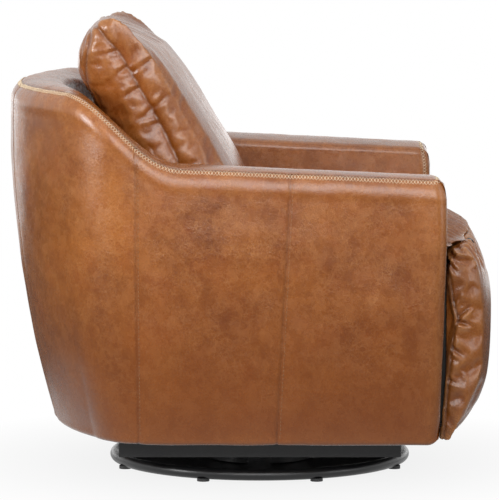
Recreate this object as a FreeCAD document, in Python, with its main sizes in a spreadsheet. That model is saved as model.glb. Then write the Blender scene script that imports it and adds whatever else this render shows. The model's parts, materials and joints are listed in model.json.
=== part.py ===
"""Power swivel recliner: a leather barrel chair on a round swivel base.

Millimetres. +Z is up, the chair faces -Y, and the swivel axis is Z with the floor at Z = 0.
An electric actuator pushes the seat forward on two tracks, a crank and two coupler bars
swing the footrest up, and a cam slot on each side lets the back lie down.
"""

import FreeCAD
import Part
import math
import os
import Sketcher
from FreeCAD import Rotation, Vector

DRIVING = {
    # outer body
    "half_width": 450, "arm_wall": 128, "back_wall": 108, "body_bottom": 93,
    "arm_front": 345, "arm_seam": 596, "back_seam": 755, "crown": 3,
    "rear_reach": 487, "corner_radius": 196, "rear_radius": 650, "corner_turn": 56,
    "rear_taper": 82, "side_taper": 22, "panel_seam_turn": 6,
    # swivel base
    "ring_radius": 284, "ring_tube": 11, "glide_height": 4, "glide_radius": 12,
    "spoke_width": 44, "spoke_height": 14, "plate_side": 190, "plate_thick": 4,
    "race_radius": 78, "race_width": 14, "ball_radius": 3, "king_radius": 8,
    # chassis
    "frame_half_x": 250, "frame_half_y": 270, "tube_wide": 30, "tube_tall": 40,
    "side_plate_x": 296, "side_plate_thick": 4, "track_tall": 40, "track_sheet": 3,
    "track_level": 320, "track_front": 312, "track_rear": 180,
    # seat
    "seat_travel": 150, "seat_half": 300, "seat_top": 510, "seat_under": 345,
    "frame_tube": 26, "hinge_y": -403, "hinge_z": 452,
    # back
    "back_pivot_y": 165, "back_pivot_z": 352, "back_lean": 24.5, "post_length": 330,
    "cam_arm": 120, "cam_pin": 6, "back_tilt": 16,
    # footrest
    "pad_half": 296, "footrest_swing": 80,
    # drive
    "crank_y": -180, "crank_z": 300, "drive_arm": 100, "lever_y": 75, "lever_z": -110,
    "rod_radius": 10.7, "tube_radius": 17, "pin_radius": 5, "bar_thick": 5, "bar_half": 10,
    # control panel
    "panel_y": -185, "panel_z": 530, "button_radius": 9, "button_gap": 26,
}

doc = FreeCAD.newDocument("recliner")
sheet = doc.addObject("Spreadsheet::Sheet", "dims")
for row, (alias, value) in enumerate(DRIVING.items(), start=1):
    sheet.set(f"A{row}", str(value))
    sheet.setAlias(f"A{row}", alias)
doc.recompute()

SUBPARTS = []
SIDES = (("right", -1), ("left", 1))  # the chair's own right is at -X


def dim(alias):
    """A driving dimension, read back from the sheet."""
    return float(sheet.get(alias))


def as_text(value):
    """A size as an expression: a number stays a number, text may name sheet cells as @alias."""
    return str(value).replace("@", "dims.")


def worth(text):
    """The number that an expression comes to."""
    return float(sheet.evalExpression(as_text(text)))


def bind(item, **properties):
    for name, value in properties.items():
        item.setExpression(name.replace("__", "."), as_text(value))
    return item


def node(item, label):
    """Marks a document object as a finished sub-part with its own name."""
    item.Label = label
    SUBPARTS.append(item)
    return item


def box(name, x, y, z):
    """A block from (low, high) pairs along X, Y and Z."""
    item = doc.addObject("Part::Box", name)
    sizes = {}
    for prop, axis, (low, high) in zip(("Length", "Width", "Height"), "xyz", (x, y, z)):
        sizes[prop] = f"({high}) - ({low})"
        sizes[f"Placement__Base__{axis}"] = low
    return bind(item, **sizes)


TURNS = {
    "x": Rotation(Vector(0, 1, 0), 90),
    "y": Rotation(Vector(1, 0, 0), -90),
    "z": Rotation(),
}


def rod(name, axis, radius, length, at):
    """A round bar that starts at a point and runs along +X, +Y or +Z."""
    item = doc.addObject("Part::Cylinder", name)
    item.Placement.Rotation = TURNS[axis]
    bind(item, Radius=radius, Height=length)
    for letter, value in zip("xyz", at):
        bind(item, **{f"Placement__Base__{letter}": value})
    return item


def fuse(name, items):
    item = doc.addObject("Part::MultiFuse", name)
    item.Shapes = items
    return item


def cut(name, base, tool):
    item = doc.addObject("Part::Cut", name)
    item.Base = base
    item.Tool = tool
    return item


def across(sign, near, far):
    """An X range between two distances from the middle, on one side of the chair."""
    if sign > 0:
        return near, far
    return f"-({far})", f"-({near})"


def sketch_on(body, plane_role, name):
    sketch = body.newObject("Sketcher::SketchObject", name)
    plane = [f for f in body.Origin.OriginFeatures if f.Role == plane_role][0]
    sketch.AttachmentSupport = [(plane, "")]
    sketch.MapMode = "FlatFace"
    return sketch


def pin_circle(sketch, centre, radius):
    """Adds a circle whose radius and centre are bound to the sheet."""
    circle = sketch.addGeometry(Part.Circle(Vector(1, 1, 0), Vector(0, 0, 1), 1))
    rows = [Sketcher.Constraint("Radius", circle, 1.0)]
    texts = [radius]
    for kind, value in zip(("DistanceX", "DistanceY"), centre):
        if value != 0:
            rows.append(Sketcher.Constraint(kind, -1, 1, circle, 3, 1.0))
            texts.append(value)
        else:
            sketch.addConstraint(Sketcher.Constraint("PointOnObject", circle, 3, -2 if kind == "DistanceX" else -1))
    for constraint, text in zip(rows, texts):
        index = sketch.addConstraint(constraint)
        sketch.setExpression(f"Constraints[{index}]", as_text(text))
    return circle


def pin_square(sketch, side):
    """Adds a square centred on the sketch origin, with its side bound to the sheet."""
    corners = [Vector(-9, -9, 0), Vector(9, -9, 0), Vector(9, 9, 0), Vector(-9, 9, 0)]
    lines = [sketch.addGeometry(Part.LineSegment(corners[i], corners[(i + 1) % 4])) for i in range(4)]
    for i in range(4):
        sketch.addConstraint(Sketcher.Constraint("Coincident", lines[i], 2, lines[(i + 1) % 4], 1))
    for i, kind in enumerate(("Horizontal", "Vertical", "Horizontal", "Vertical")):
        sketch.addConstraint(Sketcher.Constraint(kind, lines[i]))
    sketch.addConstraint(Sketcher.Constraint("Symmetric", lines[0], 1, lines[2], 1, -1, 1))
    for line, kind in ((lines[0], "DistanceX"), (lines[1], "DistanceY")):
        index = sketch.addConstraint(Sketcher.Constraint(kind, line, 1, line, 2, 18.0))
        sketch.setExpression(f"Constraints[{index}]", as_text(side))


def plate_body(label, low_z, thick, side, holes):
    """A square plate with round holes, padded up from a height."""
    body = doc.addObject("PartDesign::Body", label + "_body")
    sketch = sketch_on(body, "XY_Plane", label + "_outline")
    pin_square(sketch, side)
    for centre, radius in holes:
        pin_circle(sketch, centre, radius)
    pad = body.newObject("PartDesign::Pad", label + "_pad")
    pad.Profile = sketch
    bind(pad, Length=thick)
    bind(body, Placement__Base__z=low_z)
    return node(body, label)


def turned_body(label, radial, level, radius):
    """A ring of round section, turned about the swivel axis."""
    body = doc.addObject("PartDesign::Body", label + "_body")
    sketch = sketch_on(body, "XZ_Plane", label + "_section")
    pin_circle(sketch, (radial, level), radius)
    turn = body.newObject("PartDesign::Revolution", label + "_turn")
    turn.Profile = sketch
    turn.ReferenceAxis = (sketch, ["V_Axis"])
    turn.Angle = 360
    return node(body, label)


def washer(label, inner, outer, low_z, thick):
    """A flat ring about the swivel axis."""
    body = doc.addObject("PartDesign::Body", label + "_body")
    sketch = sketch_on(body, "XY_Plane", label + "_outline")
    pin_circle(sketch, (0, 0), outer)
    pin_circle(sketch, (0, 0), inner)
    pad = body.newObject("PartDesign::Pad", label + "_pad")
    pad.Profile = sketch
    bind(pad, Length=thick)
    bind(body, Placement__Base__z=low_z)
    return node(body, label)


def mirror_pair(shape):
    """The shape and its mirror image across the middle of the chair, as one compound."""
    flipped = shape.mirror(Vector(0, 0, 0), Vector(1, 0, 0))
    return Part.makeCompound([shape, flipped])


def solid_node(label, shape):
    """A sub-part whose shape is made directly, because no feature fits it."""
    item = doc.addObject("Part::Feature", label + "_form")
    item.Shape = shape
    return node(item, label)


# Swivel base: stands on the floor
RING_LEVEL = "@glide_height + @ring_tube"
SPOKE_LOW = 9
SPOKE_TOP = f"({SPOKE_LOW} + @spoke_height)"
RACE_LOW = f"({SPOKE_TOP} + @plate_thick)"
BALL_LEVEL = f"({RACE_LOW} + @plate_thick + @ball_radius - 0.1)"
UPPER_RACE = f"({BALL_LEVEL} + @ball_radius + 0.4)"
UPPER_PLATE = f"({UPPER_RACE} + @plate_thick)"
DECK = f"({UPPER_PLATE} + @plate_thick + 1)"
GLIDES = 8
BALLS = 24
PLATE_BOLT = 70
BOLT_RADIUS = 4


def swivel_base():
    turned_body("base_ring", "@ring_radius", RING_LEVEL, "@ring_tube")
    glides = []
    for i in range(GLIDES):
        turn = math.radians(360 * (i + 0.5) / GLIDES)
        at = (f"@ring_radius * {math.cos(turn):.6f}", f"@ring_radius * {math.sin(turn):.6f}", 0)
        glides.append(rod(f"glide_{i}", "z", "@glide_radius", "@glide_height + 2", at))
    node(fuse("glide_set", glides), "base_glides")
    half = "@spoke_width / 2"
    bars = [
        box("spoke_x", ("-@ring_radius", "@ring_radius"), (f"-{half}", half), (SPOKE_LOW, SPOKE_TOP)),
        box("spoke_y", (f"-{half}", half), ("-@ring_radius", "@ring_radius"), (SPOKE_LOW, SPOKE_TOP)),
        rod("spoke_hub", "z", "@plate_side * 0.55", "@spoke_height", (0, 0, SPOKE_LOW)),
    ]
    node(fuse("spoke_cross", bars), "base_spokes")
    pan = rod("pan_disc", "z", "@ring_radius - @ring_tube - 1", 1.5, (0, 0, "@glide_height + 1"))
    pan_hole = rod("pan_hole", "z", 30, 4, (0, 0, "@glide_height"))
    node(cut("pan_sheet", pan, pan_hole), "base_pan")
    holes = [((0, 0), "@king_radius + 0.4")]
    spots = [(sx * PLATE_BOLT, sy * PLATE_BOLT) for sx in (-1, 1) for sy in (-1, 1)]
    plate_body("swivel_lower_plate", SPOKE_TOP, "@plate_thick", "@plate_side",
               holes + [(spot, BOLT_RADIUS + 0.3) for spot in spots])
    plate_body("swivel_upper_plate", UPPER_PLATE, "@plate_thick + 1", "@plate_side + 10",
               [((0, 0), "@king_radius + 0.06")] + [(spot, BOLT_RADIUS + 0.3) for spot in spots])
    inner, outer = "@race_radius - @race_width / 2", "@race_radius + @race_width / 2"
    washer("bearing_lower_race", inner, outer, RACE_LOW, "@plate_thick")
    washer("bearing_upper_race", inner, outer, UPPER_RACE, "@plate_thick")
    balls = []
    for i in range(BALLS):
        turn = 2 * math.pi * i / BALLS
        ball = doc.addObject("Part::Sphere", f"ball_{i}")
        bind(ball, Radius="@ball_radius", Placement__Base__z=BALL_LEVEL,
             Placement__Base__x=f"@race_radius * {math.cos(turn):.6f}",
             Placement__Base__y=f"@race_radius * {math.sin(turn):.6f}")
        balls.append(ball)
    node(fuse("ball_set", balls), "bearing_balls")
    pin = fuse("king_pin_turned", [
        rod("king_shank", "z", "@king_radius", f"{DECK} + 16 - 8", (0, 0, 8)),
        rod("king_head", "z", "@king_radius + 6", 8, (0, 0, f"{DECK} + 1")),
    ])
    node(pin, "king_pin")
    bolts = []
    for i, (x, y) in enumerate(spots):
        bolts.append(rod(f"bolt_shank_{i}", "z", BOLT_RADIUS, "@plate_thick + 8", (x, y, f"{SPOKE_TOP} - 8")))
        bolts.append(rod(f"bolt_head_{i}", "z", BOLT_RADIUS + 3, 4, (x, y, RACE_LOW)))
    node(fuse("bolt_set", bolts), "base_bolts")


# Outer body: one padded wall wraps both arms and the back
RIM_RISE_START = 155
RIM_RISE_LENGTH = 225
SEAM_SLOPE = 0.045


def blend(low, high, share):
    return low + (high - low) * share


def smooth(share):
    share = min(1.0, max(0.0, share))
    return share * share * (3 - 2 * share)


def side_station(y):
    """A point on the straight side of the body, with its outward direction."""
    return Vector(-dim("half_width"), y, 0), Vector(-1, 0, 0)


def corner_centre():
    radius = dim("corner_radius")
    turn = math.radians(dim("corner_turn"))
    rear_turn = math.radians(90 - dim("corner_turn"))
    centre_x = -(dim("half_width") - radius)
    rear_y = dim("rear_reach") - dim("rear_radius")
    end_y = rear_y + dim("rear_radius") * math.cos(rear_turn)
    return Vector(centre_x, end_y - radius * math.sin(turn), 0)


def corner_station(degrees):
    turn = math.radians(degrees)
    out = Vector(-math.cos(turn), math.sin(turn), 0)
    return corner_centre() + out * dim("corner_radius"), out


def rear_station(degrees):
    """A point on the rear arc, counted from the middle of the back."""
    turn = math.radians(degrees)
    out = Vector(math.sin(turn), math.cos(turn), 0)
    centre = Vector(0, dim("rear_reach") - dim("rear_radius"), 0)
    return centre + out * dim("rear_radius"), out


def seam_height(y):
    """Height of the top outer seam, which climbs from the arms to the back."""
    arm = dim("arm_seam") + SEAM_SLOPE * (y + dim("arm_front"))
    return blend(arm, dim("back_seam"), smooth((y - RIM_RISE_START) / RIM_RISE_LENGTH))


def wall_section(station):
    """The closed cross-section of the padded wall at one station."""
    point, out = station
    rearward = out.y * out.y
    top = seam_height(point.y)
    wall = blend(dim("arm_wall"), dim("back_wall"), rearward)
    draw_in = blend(dim("side_taper"), dim("rear_taper"), abs(out.y))
    bottom = dim("body_bottom")
    shoulder = top - 45

    def at(outward, z):
        return point + out * outward + Vector(0, 0, z)

    low_out = at(-draw_in, bottom)
    mid_out = at(-0.23 * draw_in, (bottom + shoulder) / 2)
    high_out = at(0, shoulder)
    seam = at(-10 - 12 * rearward, top)
    middle_top = seam_height(point.y - 0.52 * wall * out.y)
    inner_top = seam_height(point.y - wall * out.y)
    crest = at(-0.52 * wall, middle_top + dim("crown"))
    inner_edge = at(10 - wall, inner_top - 18)
    inner_high = at(-wall, inner_top - 50)
    inner_low = at(-wall - 55 * rearward, bottom)
    roll_out = at(-1 - 2 * rearward, top - 22)
    roll_in = at(3 - wall, inner_top - 33)
    edges = [
        Part.Arc(low_out, mid_out, high_out).toShape(),
        Part.Arc(high_out, roll_out, seam).toShape(),
        Part.Arc(seam, crest, inner_edge).toShape(),
        Part.Arc(inner_edge, roll_in, inner_high).toShape(),
        Part.LineSegment(inner_high, inner_low).toShape(),
        Part.LineSegment(inner_low, low_out).toShape(),
    ]
    return Part.Wire(edges)


def loft(sections):
    return Part.makeLoft(sections, True, True)


def soft_front(shape, radius):
    """Rounds the edges round the front end of an arm where the kernel can do it."""
    front = shape.BoundBox.YMin
    edges = [edge for edge in shape.Edges if edge.BoundBox.YMax < front + 1]
    try:
        rounded = shape.makeFillet(radius, edges)
    except Exception:
        return shape
    return rounded if rounded.isValid() and rounded.Volume > 0 else shape


def block(x, y, z):
    """A plain block shape for cutting, from (low, high) pairs."""
    low = Vector(x[0], y[0], z[0])
    return Part.makeBox(x[1] - x[0], y[1] - y[0], z[1] - z[0], low)


ARM_PLY_X = (370, 388)
ARM_PLY_Y = (-300, 200)
ARM_PLY_Z = (110, 560)
BACK_PLY_X = 140
BACK_PLY_Y = (388, 400)
BACK_PLY_Z = (200, 690)
ARM_FRONT_ROUND = 18


def outer_body():
    straight = [-dim("arm_front"), RIM_RISE_START, 172, 190, corner_centre().y]
    stations = [side_station(y) for y in straight]
    split = dim("panel_seam_turn")
    stations += [corner_station(split)]
    arm = soft_front(loft([wall_section(item) for item in stations]), ARM_FRONT_ROUND)
    pocket = block((-ARM_PLY_X[1], -ARM_PLY_X[0]), ARM_PLY_Y, ARM_PLY_Z)
    right = solid_node("right_arm", arm.cut(pocket))
    left = doc.addObject("Part::Mirroring", "left_arm_form")
    left.Source = right
    left.Base = Vector(0, 0, 0)
    left.Normal = Vector(1, 0, 0)
    node(left, "left_arm")

    rear_end = 90 - dim("corner_turn")
    stations = [corner_station(turn) for turn in (split, 12, 18, 24, 31, 38, 47)]
    stations += [rear_station(turn) for turn in (-rear_end, -25, -16, -8)]
    sections = [wall_section(item) for item in stations]
    middle = [wall_section(rear_station(0))]
    flip = FreeCAD.Matrix()
    flip.A11 = -1
    mirrored = [section.transformGeometry(flip) for section in reversed(sections)]
    back = loft(sections + middle + mirrored)
    slot = block((-BACK_PLY_X, BACK_PLY_X), BACK_PLY_Y, BACK_PLY_Z)
    solid_node("outer_back", back.cut(slot))

    panels = []
    for side, sign in SIDES:
        panels.append(box(f"{side}_arm_core", across(sign, *ARM_PLY_X), ARM_PLY_Y, ARM_PLY_Z))
    node(fuse("arm_core_pair", panels), "arm_panels")
    node(box("back_core", (-BACK_PLY_X, BACK_PLY_X), BACK_PLY_Y, BACK_PLY_Z), "back_panel")


# Chassis: turns on the base and carries the body, the tracks and the drive
TUBE_TOP = f"({DECK} + @tube_tall)"
FLANGE_TOP = f"({TUBE_TOP} + @side_plate_thick)"
FRONT_RAIL_Y = (-334, -312)
FRONT_RAIL_TOP = 150
REAR_RAIL_Y = (250, 270)
CAM_PLATE_X = (112, 116)
CAM_PLATE_Y = (-95, 140)
CAM_PLATE_TOP = 300
CAM_SLOT_HALF = 7.8
DRIVE_Z = 210
TUBE_FRONT = -85
GEARBOX_Y = (262, 322)
MOTOR_X = 63


def cam_path():
    """Where the cam pin is, as (Y, Z), with the chair closed and fully open."""
    pivot = Vector(0, dim("back_pivot_y"), dim("back_pivot_z"))
    lean = dim("back_lean")
    ends = []
    for slide, tilt in ((0, 0), (dim("seat_travel"), dim("back_tilt"))):
        turn = math.radians(lean + tilt)
        ends.append(pivot + Vector(0, -slide - dim("cam_arm") * math.sin(turn), -dim("cam_arm") * math.cos(turn)))
    return ends


def slotted_plate(x, y, z, ends, half):
    """A plate in the YZ plane with one long round-ended slot through it."""
    start, stop = ends
    along = (stop - start).normalize()
    side = Vector(0, -along.z, along.y) * half
    rim = [
        Part.LineSegment(start + side, stop + side).toShape(),
        Part.Arc(stop + side, stop + along * half, stop - side).toShape(),
        Part.LineSegment(stop - side, start - side).toShape(),
        Part.Arc(start - side, start - along * half, start + side).toShape(),
    ]
    tool = Part.Face(Part.Wire(rim)).extrude(Vector(x[1] - x[0] + 2, 0, 0))
    tool.translate(Vector(x[0] - 1, 0, 0))
    return block(x, y, z).cut(tool)


def chassis():
    for name, x, y in (
        ("chassis_long_tubes", ("@frame_half_x - @tube_wide / 2", "@frame_half_x + @tube_wide / 2"), None),
        ("chassis_cross_tubes", None, (65, 95)),
    ):
        pair = []
        for i, sign in enumerate((-1, 1)):
            if x is not None:
                spans = across(sign, *x), ("-@frame_half_y", "@frame_half_y")
            else:
                inner = "@frame_half_x - @tube_wide / 2"
                spans = (f"-({inner})", inner), across(sign, *y)
            pair.append(box(f"{name}_{i}", spans[0], spans[1], (DECK, TUBE_TOP)))
        node(fuse(name + "_pair", pair), name)

    plates, feet, tracks, arm_blocks = [], [], [], []
    for side, sign in SIDES:
        skin = across(sign, "@side_plate_x", "@side_plate_x + @side_plate_thick")
        plates.append(box(f"{side}_plate", skin, (FRONT_RAIL_Y[1], 230), (FLANGE_TOP, 342)))
        foot = across(sign, 240, "@side_plate_x + @side_plate_thick")
        feet.append(box(f"{side}_foot", foot, (-270, 230), (TUBE_TOP, FLANGE_TOP)))
        low, high = "@track_level - @track_tall / 2", "@track_level + @track_tall / 2"
        run = ("-@track_front + 2", "@track_rear")
        channel = box(f"{side}_channel", across(sign, 274, "@side_plate_x"), run, (low, high))
        hollow = across(sign, 270, "@side_plate_x - @track_sheet")
        groove = box(f"{side}_groove", hollow, ("-@track_front", "@track_rear + 2"),
                     (f"{low} + @track_sheet", f"{high} - @track_sheet"))
        tracks.append(cut(f"{side}_track", channel, groove))
        reach = across(sign, "@side_plate_x + @side_plate_thick", "@half_width - @arm_wall")
        for i, y in enumerate(((-200, -120), (60, 140))):
            arm_blocks.append(box(f"{side}_arm_block_{i}", reach, y, (130, 240)))
    node(fuse("plate_pair", plates), "side_plates")
    node(fuse("foot_pair", feet), "side_plate_feet")
    node(fuse("track_pair", tracks), "seat_tracks")
    node(fuse("arm_block_set", arm_blocks), "arm_blocks")

    node(box("front_bar", (-317, 317), FRONT_RAIL_Y, (96, FRONT_RAIL_TOP)), "front_rail")
    rear = [box("rear_bar", (-265, 265), REAR_RAIL_Y, (TUBE_TOP, f"{TUBE_TOP} + 40"))]
    for side, sign in SIDES:
        rear.append(box(f"{side}_brace", across(sign, 60, 100), (REAR_RAIL_Y[1], 328), (98, 124)))
    node(fuse("rear_set", rear), "rear_rail")

    floor = worth(TUBE_TOP)
    plate = slotted_plate(CAM_PLATE_X, CAM_PLATE_Y, (floor, CAM_PLATE_TOP), cam_path(), CAM_SLOT_HALF)
    solid_node("cam_plates", mirror_pair(plate))


def actuator():
    gear = box("gear_case", (-32, 93), GEARBOX_Y, (DRIVE_Z - 29, DRIVE_Z + 29))
    node(gear, "actuator_gearbox")
    stand = box("stand_block", (-25, 60), (REAR_RAIL_Y[0], 305), (f"{TUBE_TOP} + 40", DRIVE_Z - 29))
    node(stand, "actuator_stand")
    motor = rod("motor_can", "y", 28, GEARBOX_Y[0] - 95, (MOTOR_X, 95, DRIVE_Z))
    node(motor, "actuator_motor")
    length = GEARBOX_Y[0] - TUBE_FRONT
    sleeve = rod("sleeve", "y", "@tube_radius", length, (0, TUBE_FRONT, DRIVE_Z))
    bore = rod("sleeve_bore", "y", "@rod_radius + 0.05", length + 2, (0, TUBE_FRONT - 1, DRIVE_Z))
    node(cut("sleeve_bored", sleeve, bore), "actuator_tube")
    pack = box("supply_case", ("-@side_plate_x", -250), (0, 140), (110, 170))
    node(pack, "power_supply")
    shell = box("inlet_case", (112, 138), (REAR_RAIL_Y[1], 292), (98, 124))
    hole = rod("inlet_bore", "z", 2.75, 14, (125, 281, 96))
    node(cut("inlet_bored", shell, hole), "power_inlet")


# Soft solids: a side profile carried across the chair, drawn in towards its ends
def profile_wire(points, x):
    """A closed polygon of (Y, Z) points at one X."""
    ring = [Vector(x, y, z) for y, z in points]
    return Part.makePolygon(ring + ring[:1])


def drawn_in(points, amount):
    """The profile with each point pulled towards the middle by a distance."""
    middle_y = sum(p[0] for p in points) / len(points)
    middle_z = sum(p[1] for p in points) / len(points)
    pulled = []
    for y, z in points:
        reach = math.hypot(y - middle_y, z - middle_z)
        share = max(0.0, 1 - amount / reach)
        pulled.append((middle_y + (y - middle_y) * share, middle_z + (z - middle_z) * share))
    return pulled


def cushion_loft(points, stations):
    """A loft of one profile through (x, pull-in) stations, mirrored to both sides."""
    rows = [(-x, pull) for x, pull in stations] + [(x, pull) for x, pull in reversed(stations)]
    return loft([profile_wire(drawn_in(points, pull), x) for x, pull in rows])


def yz_bar(x, start, stop, half, holes=()):
    """A flat link with round ends between two (Y, Z) points, bored at the given (point, radius)."""
    a, b = Vector(x[0], *start), Vector(x[0], *stop)
    along = (b - a).normalize()
    side = Vector(0, -along.z, along.y) * half
    rim = [
        Part.LineSegment(a + side, b + side).toShape(),
        Part.Arc(b + side, b + along * half, b - side).toShape(),
        Part.LineSegment(b - side, a - side).toShape(),
        Part.Arc(a - side, a - along * half, a + side).toShape(),
    ]
    bar = Part.Face(Part.Wire(rim)).extrude(Vector(x[1] - x[0], 0, 0))
    for (y, z), radius in holes:
        bar = bar.cut(Part.makeCylinder(radius, x[1] - x[0] + 2, Vector(x[0] - 1, y, z), Vector(1, 0, 0)))
    return bar


def x_pin(x, point, radius):
    return Part.makeCylinder(radius, x[1] - x[0], Vector(x[0], *point), Vector(1, 0, 0))


# Seat: slides forward on the tracks
RUN_GAP = 0.05
EAR_X = (197, 203)
SEAT_SIDE_TUBE = (236, 262)
SEAT_TUBE_Z = (307, 333)
FRONT_CROSS_Y = (-252, -227)
REAR_CROSS_Y = (60, 85)
BRACKET_X = (240, 246)
HANGER_X = (222, 228)
CUSHION_LOW = 346
SEAT_PROFILE = [
    (-330, 512), (-215, 509), (-100, 501), (20, 486), (100, 452), (140, 428), (140, 360), (128, CUSHION_LOW),
    (-300, CUSHION_LOW), (-312, 356), (-318, 420), (-335, 444), (-375, 459), (-398, 466.5), (-404, 471),
    (-402, 476), (-390, 486), (-368, 501),
]


def footrest_axis():
    return dim("hinge_y"), dim("hinge_z")


def crank_axis():
    return dim("crank_y"), dim("crank_z")


def back_axis():
    return dim("back_pivot_y"), dim("back_pivot_z")


def seat():
    tubes, rails, blocks, ears = [], [], [], []
    for side, sign in SIDES:
        tubes.append(box(f"{side}_seat_tube", across(sign, *SEAT_SIDE_TUBE), (-325, 190), SEAT_TUBE_Z))
        rails.append(box(f"{side}_seat_rail", across(sign, SEAT_SIDE_TUBE[1], 274), (-200, 170), (308, 332)))
        for i, y in enumerate(((-150, -110), (120, 160))):
            blocks.append(box(f"{side}_slide_{i}", across(sign, 274, 292), y, (303.4, 336.6)))
    node(fuse("seat_tube_pair", tubes), "seat_side_tubes")
    node(fuse("rail_pair", rails), "seat_rails")
    node(fuse("slide_set", blocks), "slide_blocks")
    inner = SEAT_SIDE_TUBE[0]
    cross = [box(f"cross_{i}", (-inner, inner), y, SEAT_TUBE_Z) for i, y in enumerate((FRONT_CROSS_Y, REAR_CROSS_Y))]
    node(fuse("cross_pair", cross), "seat_cross_tubes")
    node(box("spring_pack", (-255, 255), (-255, 120), (SEAT_TUBE_Z[1], CUSHION_LOW)), "seat_springs")

    hinge = footrest_axis()
    elbow = (-318, 320)
    root = block(EAR_X, (elbow[0], FRONT_CROSS_Y[0]), (310, 330))
    reach = yz_bar(EAR_X, elbow, hinge, 8, [(hinge, dim("pin_radius") + RUN_GAP)])
    solid_node("footrest_ears", mirror_pair(reach.fuse(root).removeSplitter()))

    hanger = block(HANGER_X, (FRONT_CROSS_Y[0], -165), (282, SEAT_TUBE_Z[0]))
    hanger = hanger.cut(x_pin((HANGER_X[0] - 1, HANGER_X[1] + 1), crank_axis(), 10 + RUN_GAP))
    solid_node("crank_hangers", mirror_pair(hanger))
    bracket = block(BRACKET_X, (144, 186), (SEAT_TUBE_Z[1], 372))
    bracket = bracket.cut(x_pin((BRACKET_X[0] - 1, BRACKET_X[1] + 1), back_axis(), 12 + RUN_GAP))
    solid_node("back_hinge_brackets", mirror_pair(bracket))
    half = dim("seat_half")
    shape = cushion_loft(SEAT_PROFILE, [(half, 20), (half - 6, 10), (half - 20, 4), (half - 60, 1), (half / 3, 0)])
    solid_node("seat_cushion", shape)


# Footrest: swings up about the front edge of the seat
SLOT_X = (178, 208)
BOARD_Y = (-354, -339)
LEVER_X = (140, 145)
COUPLER_X = (146, 151)
FOOT_BRACKET_X = (152, 157)
PAD_PROFILE = [
    (-403, 464), (-412, 459), (-427, 437), (-441, 405), (-449, 373), (-453, 338), (-453, 294), (-450, 240),
    (-445, 200), (-439, 185), (-429, 160), (-415, 135), (-396, 110), (-372, 90), (-354, 92),
    (-354, 438), (-385, 458),
]


def footrest():
    half = dim("pad_half")
    pad = cushion_loft(PAD_PROFILE, [(half, 20), (half - 6, 10), (half - 20, 4), (half - 60, 1), (half / 3, 0)])
    slots = [block(x, (-411.5, -330), (318, 478)) for x in (SLOT_X, (-SLOT_X[1], -SLOT_X[0]))]
    front_wall = block((-400, 400), (BOARD_Y[0], -200), (0, 600))
    solid_node("footrest_pad", pad.cut(front_wall).cut(slots[0]).cut(slots[1]))
    board = block((-285, 285), BOARD_Y, (110, 436))
    solid_node("footrest_board", board.cut(slots[0]).cut(slots[1]))
    hinge = footrest_axis()
    lug = block((SLOT_X[0], 189), (hinge[0] - 8, hinge[0] + 8), (438, hinge[1]))
    lug = lug.fuse(x_pin((SLOT_X[0], 189), hinge, 8))
    pin = x_pin((SLOT_X[0], 206), hinge, dim("pin_radius"))
    solid_node("footrest_lugs", mirror_pair(lug.fuse(pin)))
    joint = (hinge[0] + dim("lever_y"), hinge[1] + dim("lever_z"))
    plate = block(FOOT_BRACKET_X, (BOARD_Y[1], joint[0]), (joint[1] - 10, joint[1] + 10))
    eye = x_pin(FOOT_BRACKET_X, joint, 10)
    pin = x_pin((COUPLER_X[0] - 3, FOOT_BRACKET_X[1]), joint, dim("pin_radius"))
    solid_node("footrest_brackets", mirror_pair(plate.fuse(eye).fuse(pin).removeSplitter()))


# Drive: rod, crank and coupler bars
DRIVE_LEVER_X = (8, 14)
YOKE_HALF_X = 5
YOKE_Z = (180, 244)
YOKE_SLOT_HALF = 7.7


def drive():
    hub = crank_axis()
    radius = dim("pin_radius")
    lever_end = (hub[0] + dim("lever_y"), hub[1] + dim("lever_z"))
    shaft = rod("shaft_bar", "x", 10, 460, (-230, "@crank_y", "@crank_z"))
    node(shaft, "crank_shaft")
    lever = yz_bar(LEVER_X, hub, lever_end, dim("bar_half") + 4, [(hub, 10)])
    lever = lever.fuse(x_pin((LEVER_X[0], COUPLER_X[1] + 3), lever_end, radius))
    solid_node("crank_levers", mirror_pair(lever))
    swing = math.radians(dim("footrest_swing") / 2)
    drive_pin = (hub[0] + dim("drive_arm") * math.sin(swing), hub[1] - dim("drive_arm") * math.cos(swing))
    arm = yz_bar(DRIVE_LEVER_X, hub, drive_pin, dim("bar_half"), [(hub, 10)])
    pin = x_pin((-DRIVE_LEVER_X[1], DRIVE_LEVER_X[1]), drive_pin, radius)
    solid_node("drive_levers", mirror_pair(arm).fuse(pin))

    foot = (dim("hinge_y") + dim("lever_y"), dim("hinge_z") + dim("lever_z"))
    holes = [(lever_end, radius + RUN_GAP), (foot, radius + RUN_GAP)]
    solid_node("coupler_bars", mirror_pair(yz_bar(COUPLER_X, lever_end, foot, dim("bar_half"), holes)))

    yoke_y = (drive_pin[0] - 19, drive_pin[0] + 19)
    low = hub[1] - dim("drive_arm")
    ends = [Vector(0, drive_pin[0], low - 2), Vector(0, drive_pin[0], drive_pin[1] + 2)]
    plate = slotted_plate((-YOKE_HALF_X, YOKE_HALF_X), yoke_y, YOKE_Z, ends, YOKE_SLOT_HALF)
    solid_node("drive_yoke", plate)
    length = GEARBOX_Y[0] - 8 - yoke_y[1]
    node(rod("push_bar", "y", "@rod_radius", length, (0, yoke_y[1], DRIVE_Z)), "drive_rod")


# Back: leans behind the seat cushion and lies down as the seat goes forward
POST_X = (192, 208)
BACK_START = (190, 430)
BACK_PROFILE = [
    (0, 0), (130, 1), (260, 4), (400, 10), (432, 28), (452, 50), (461, 70), (461, 90), (450, 110), (430, 132),
    (390, 158), (344, 179), (267, 193), (170, 202), (74, 206), (20, 200), (0, 188), (-6, 150), (-6, 40),
]


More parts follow.
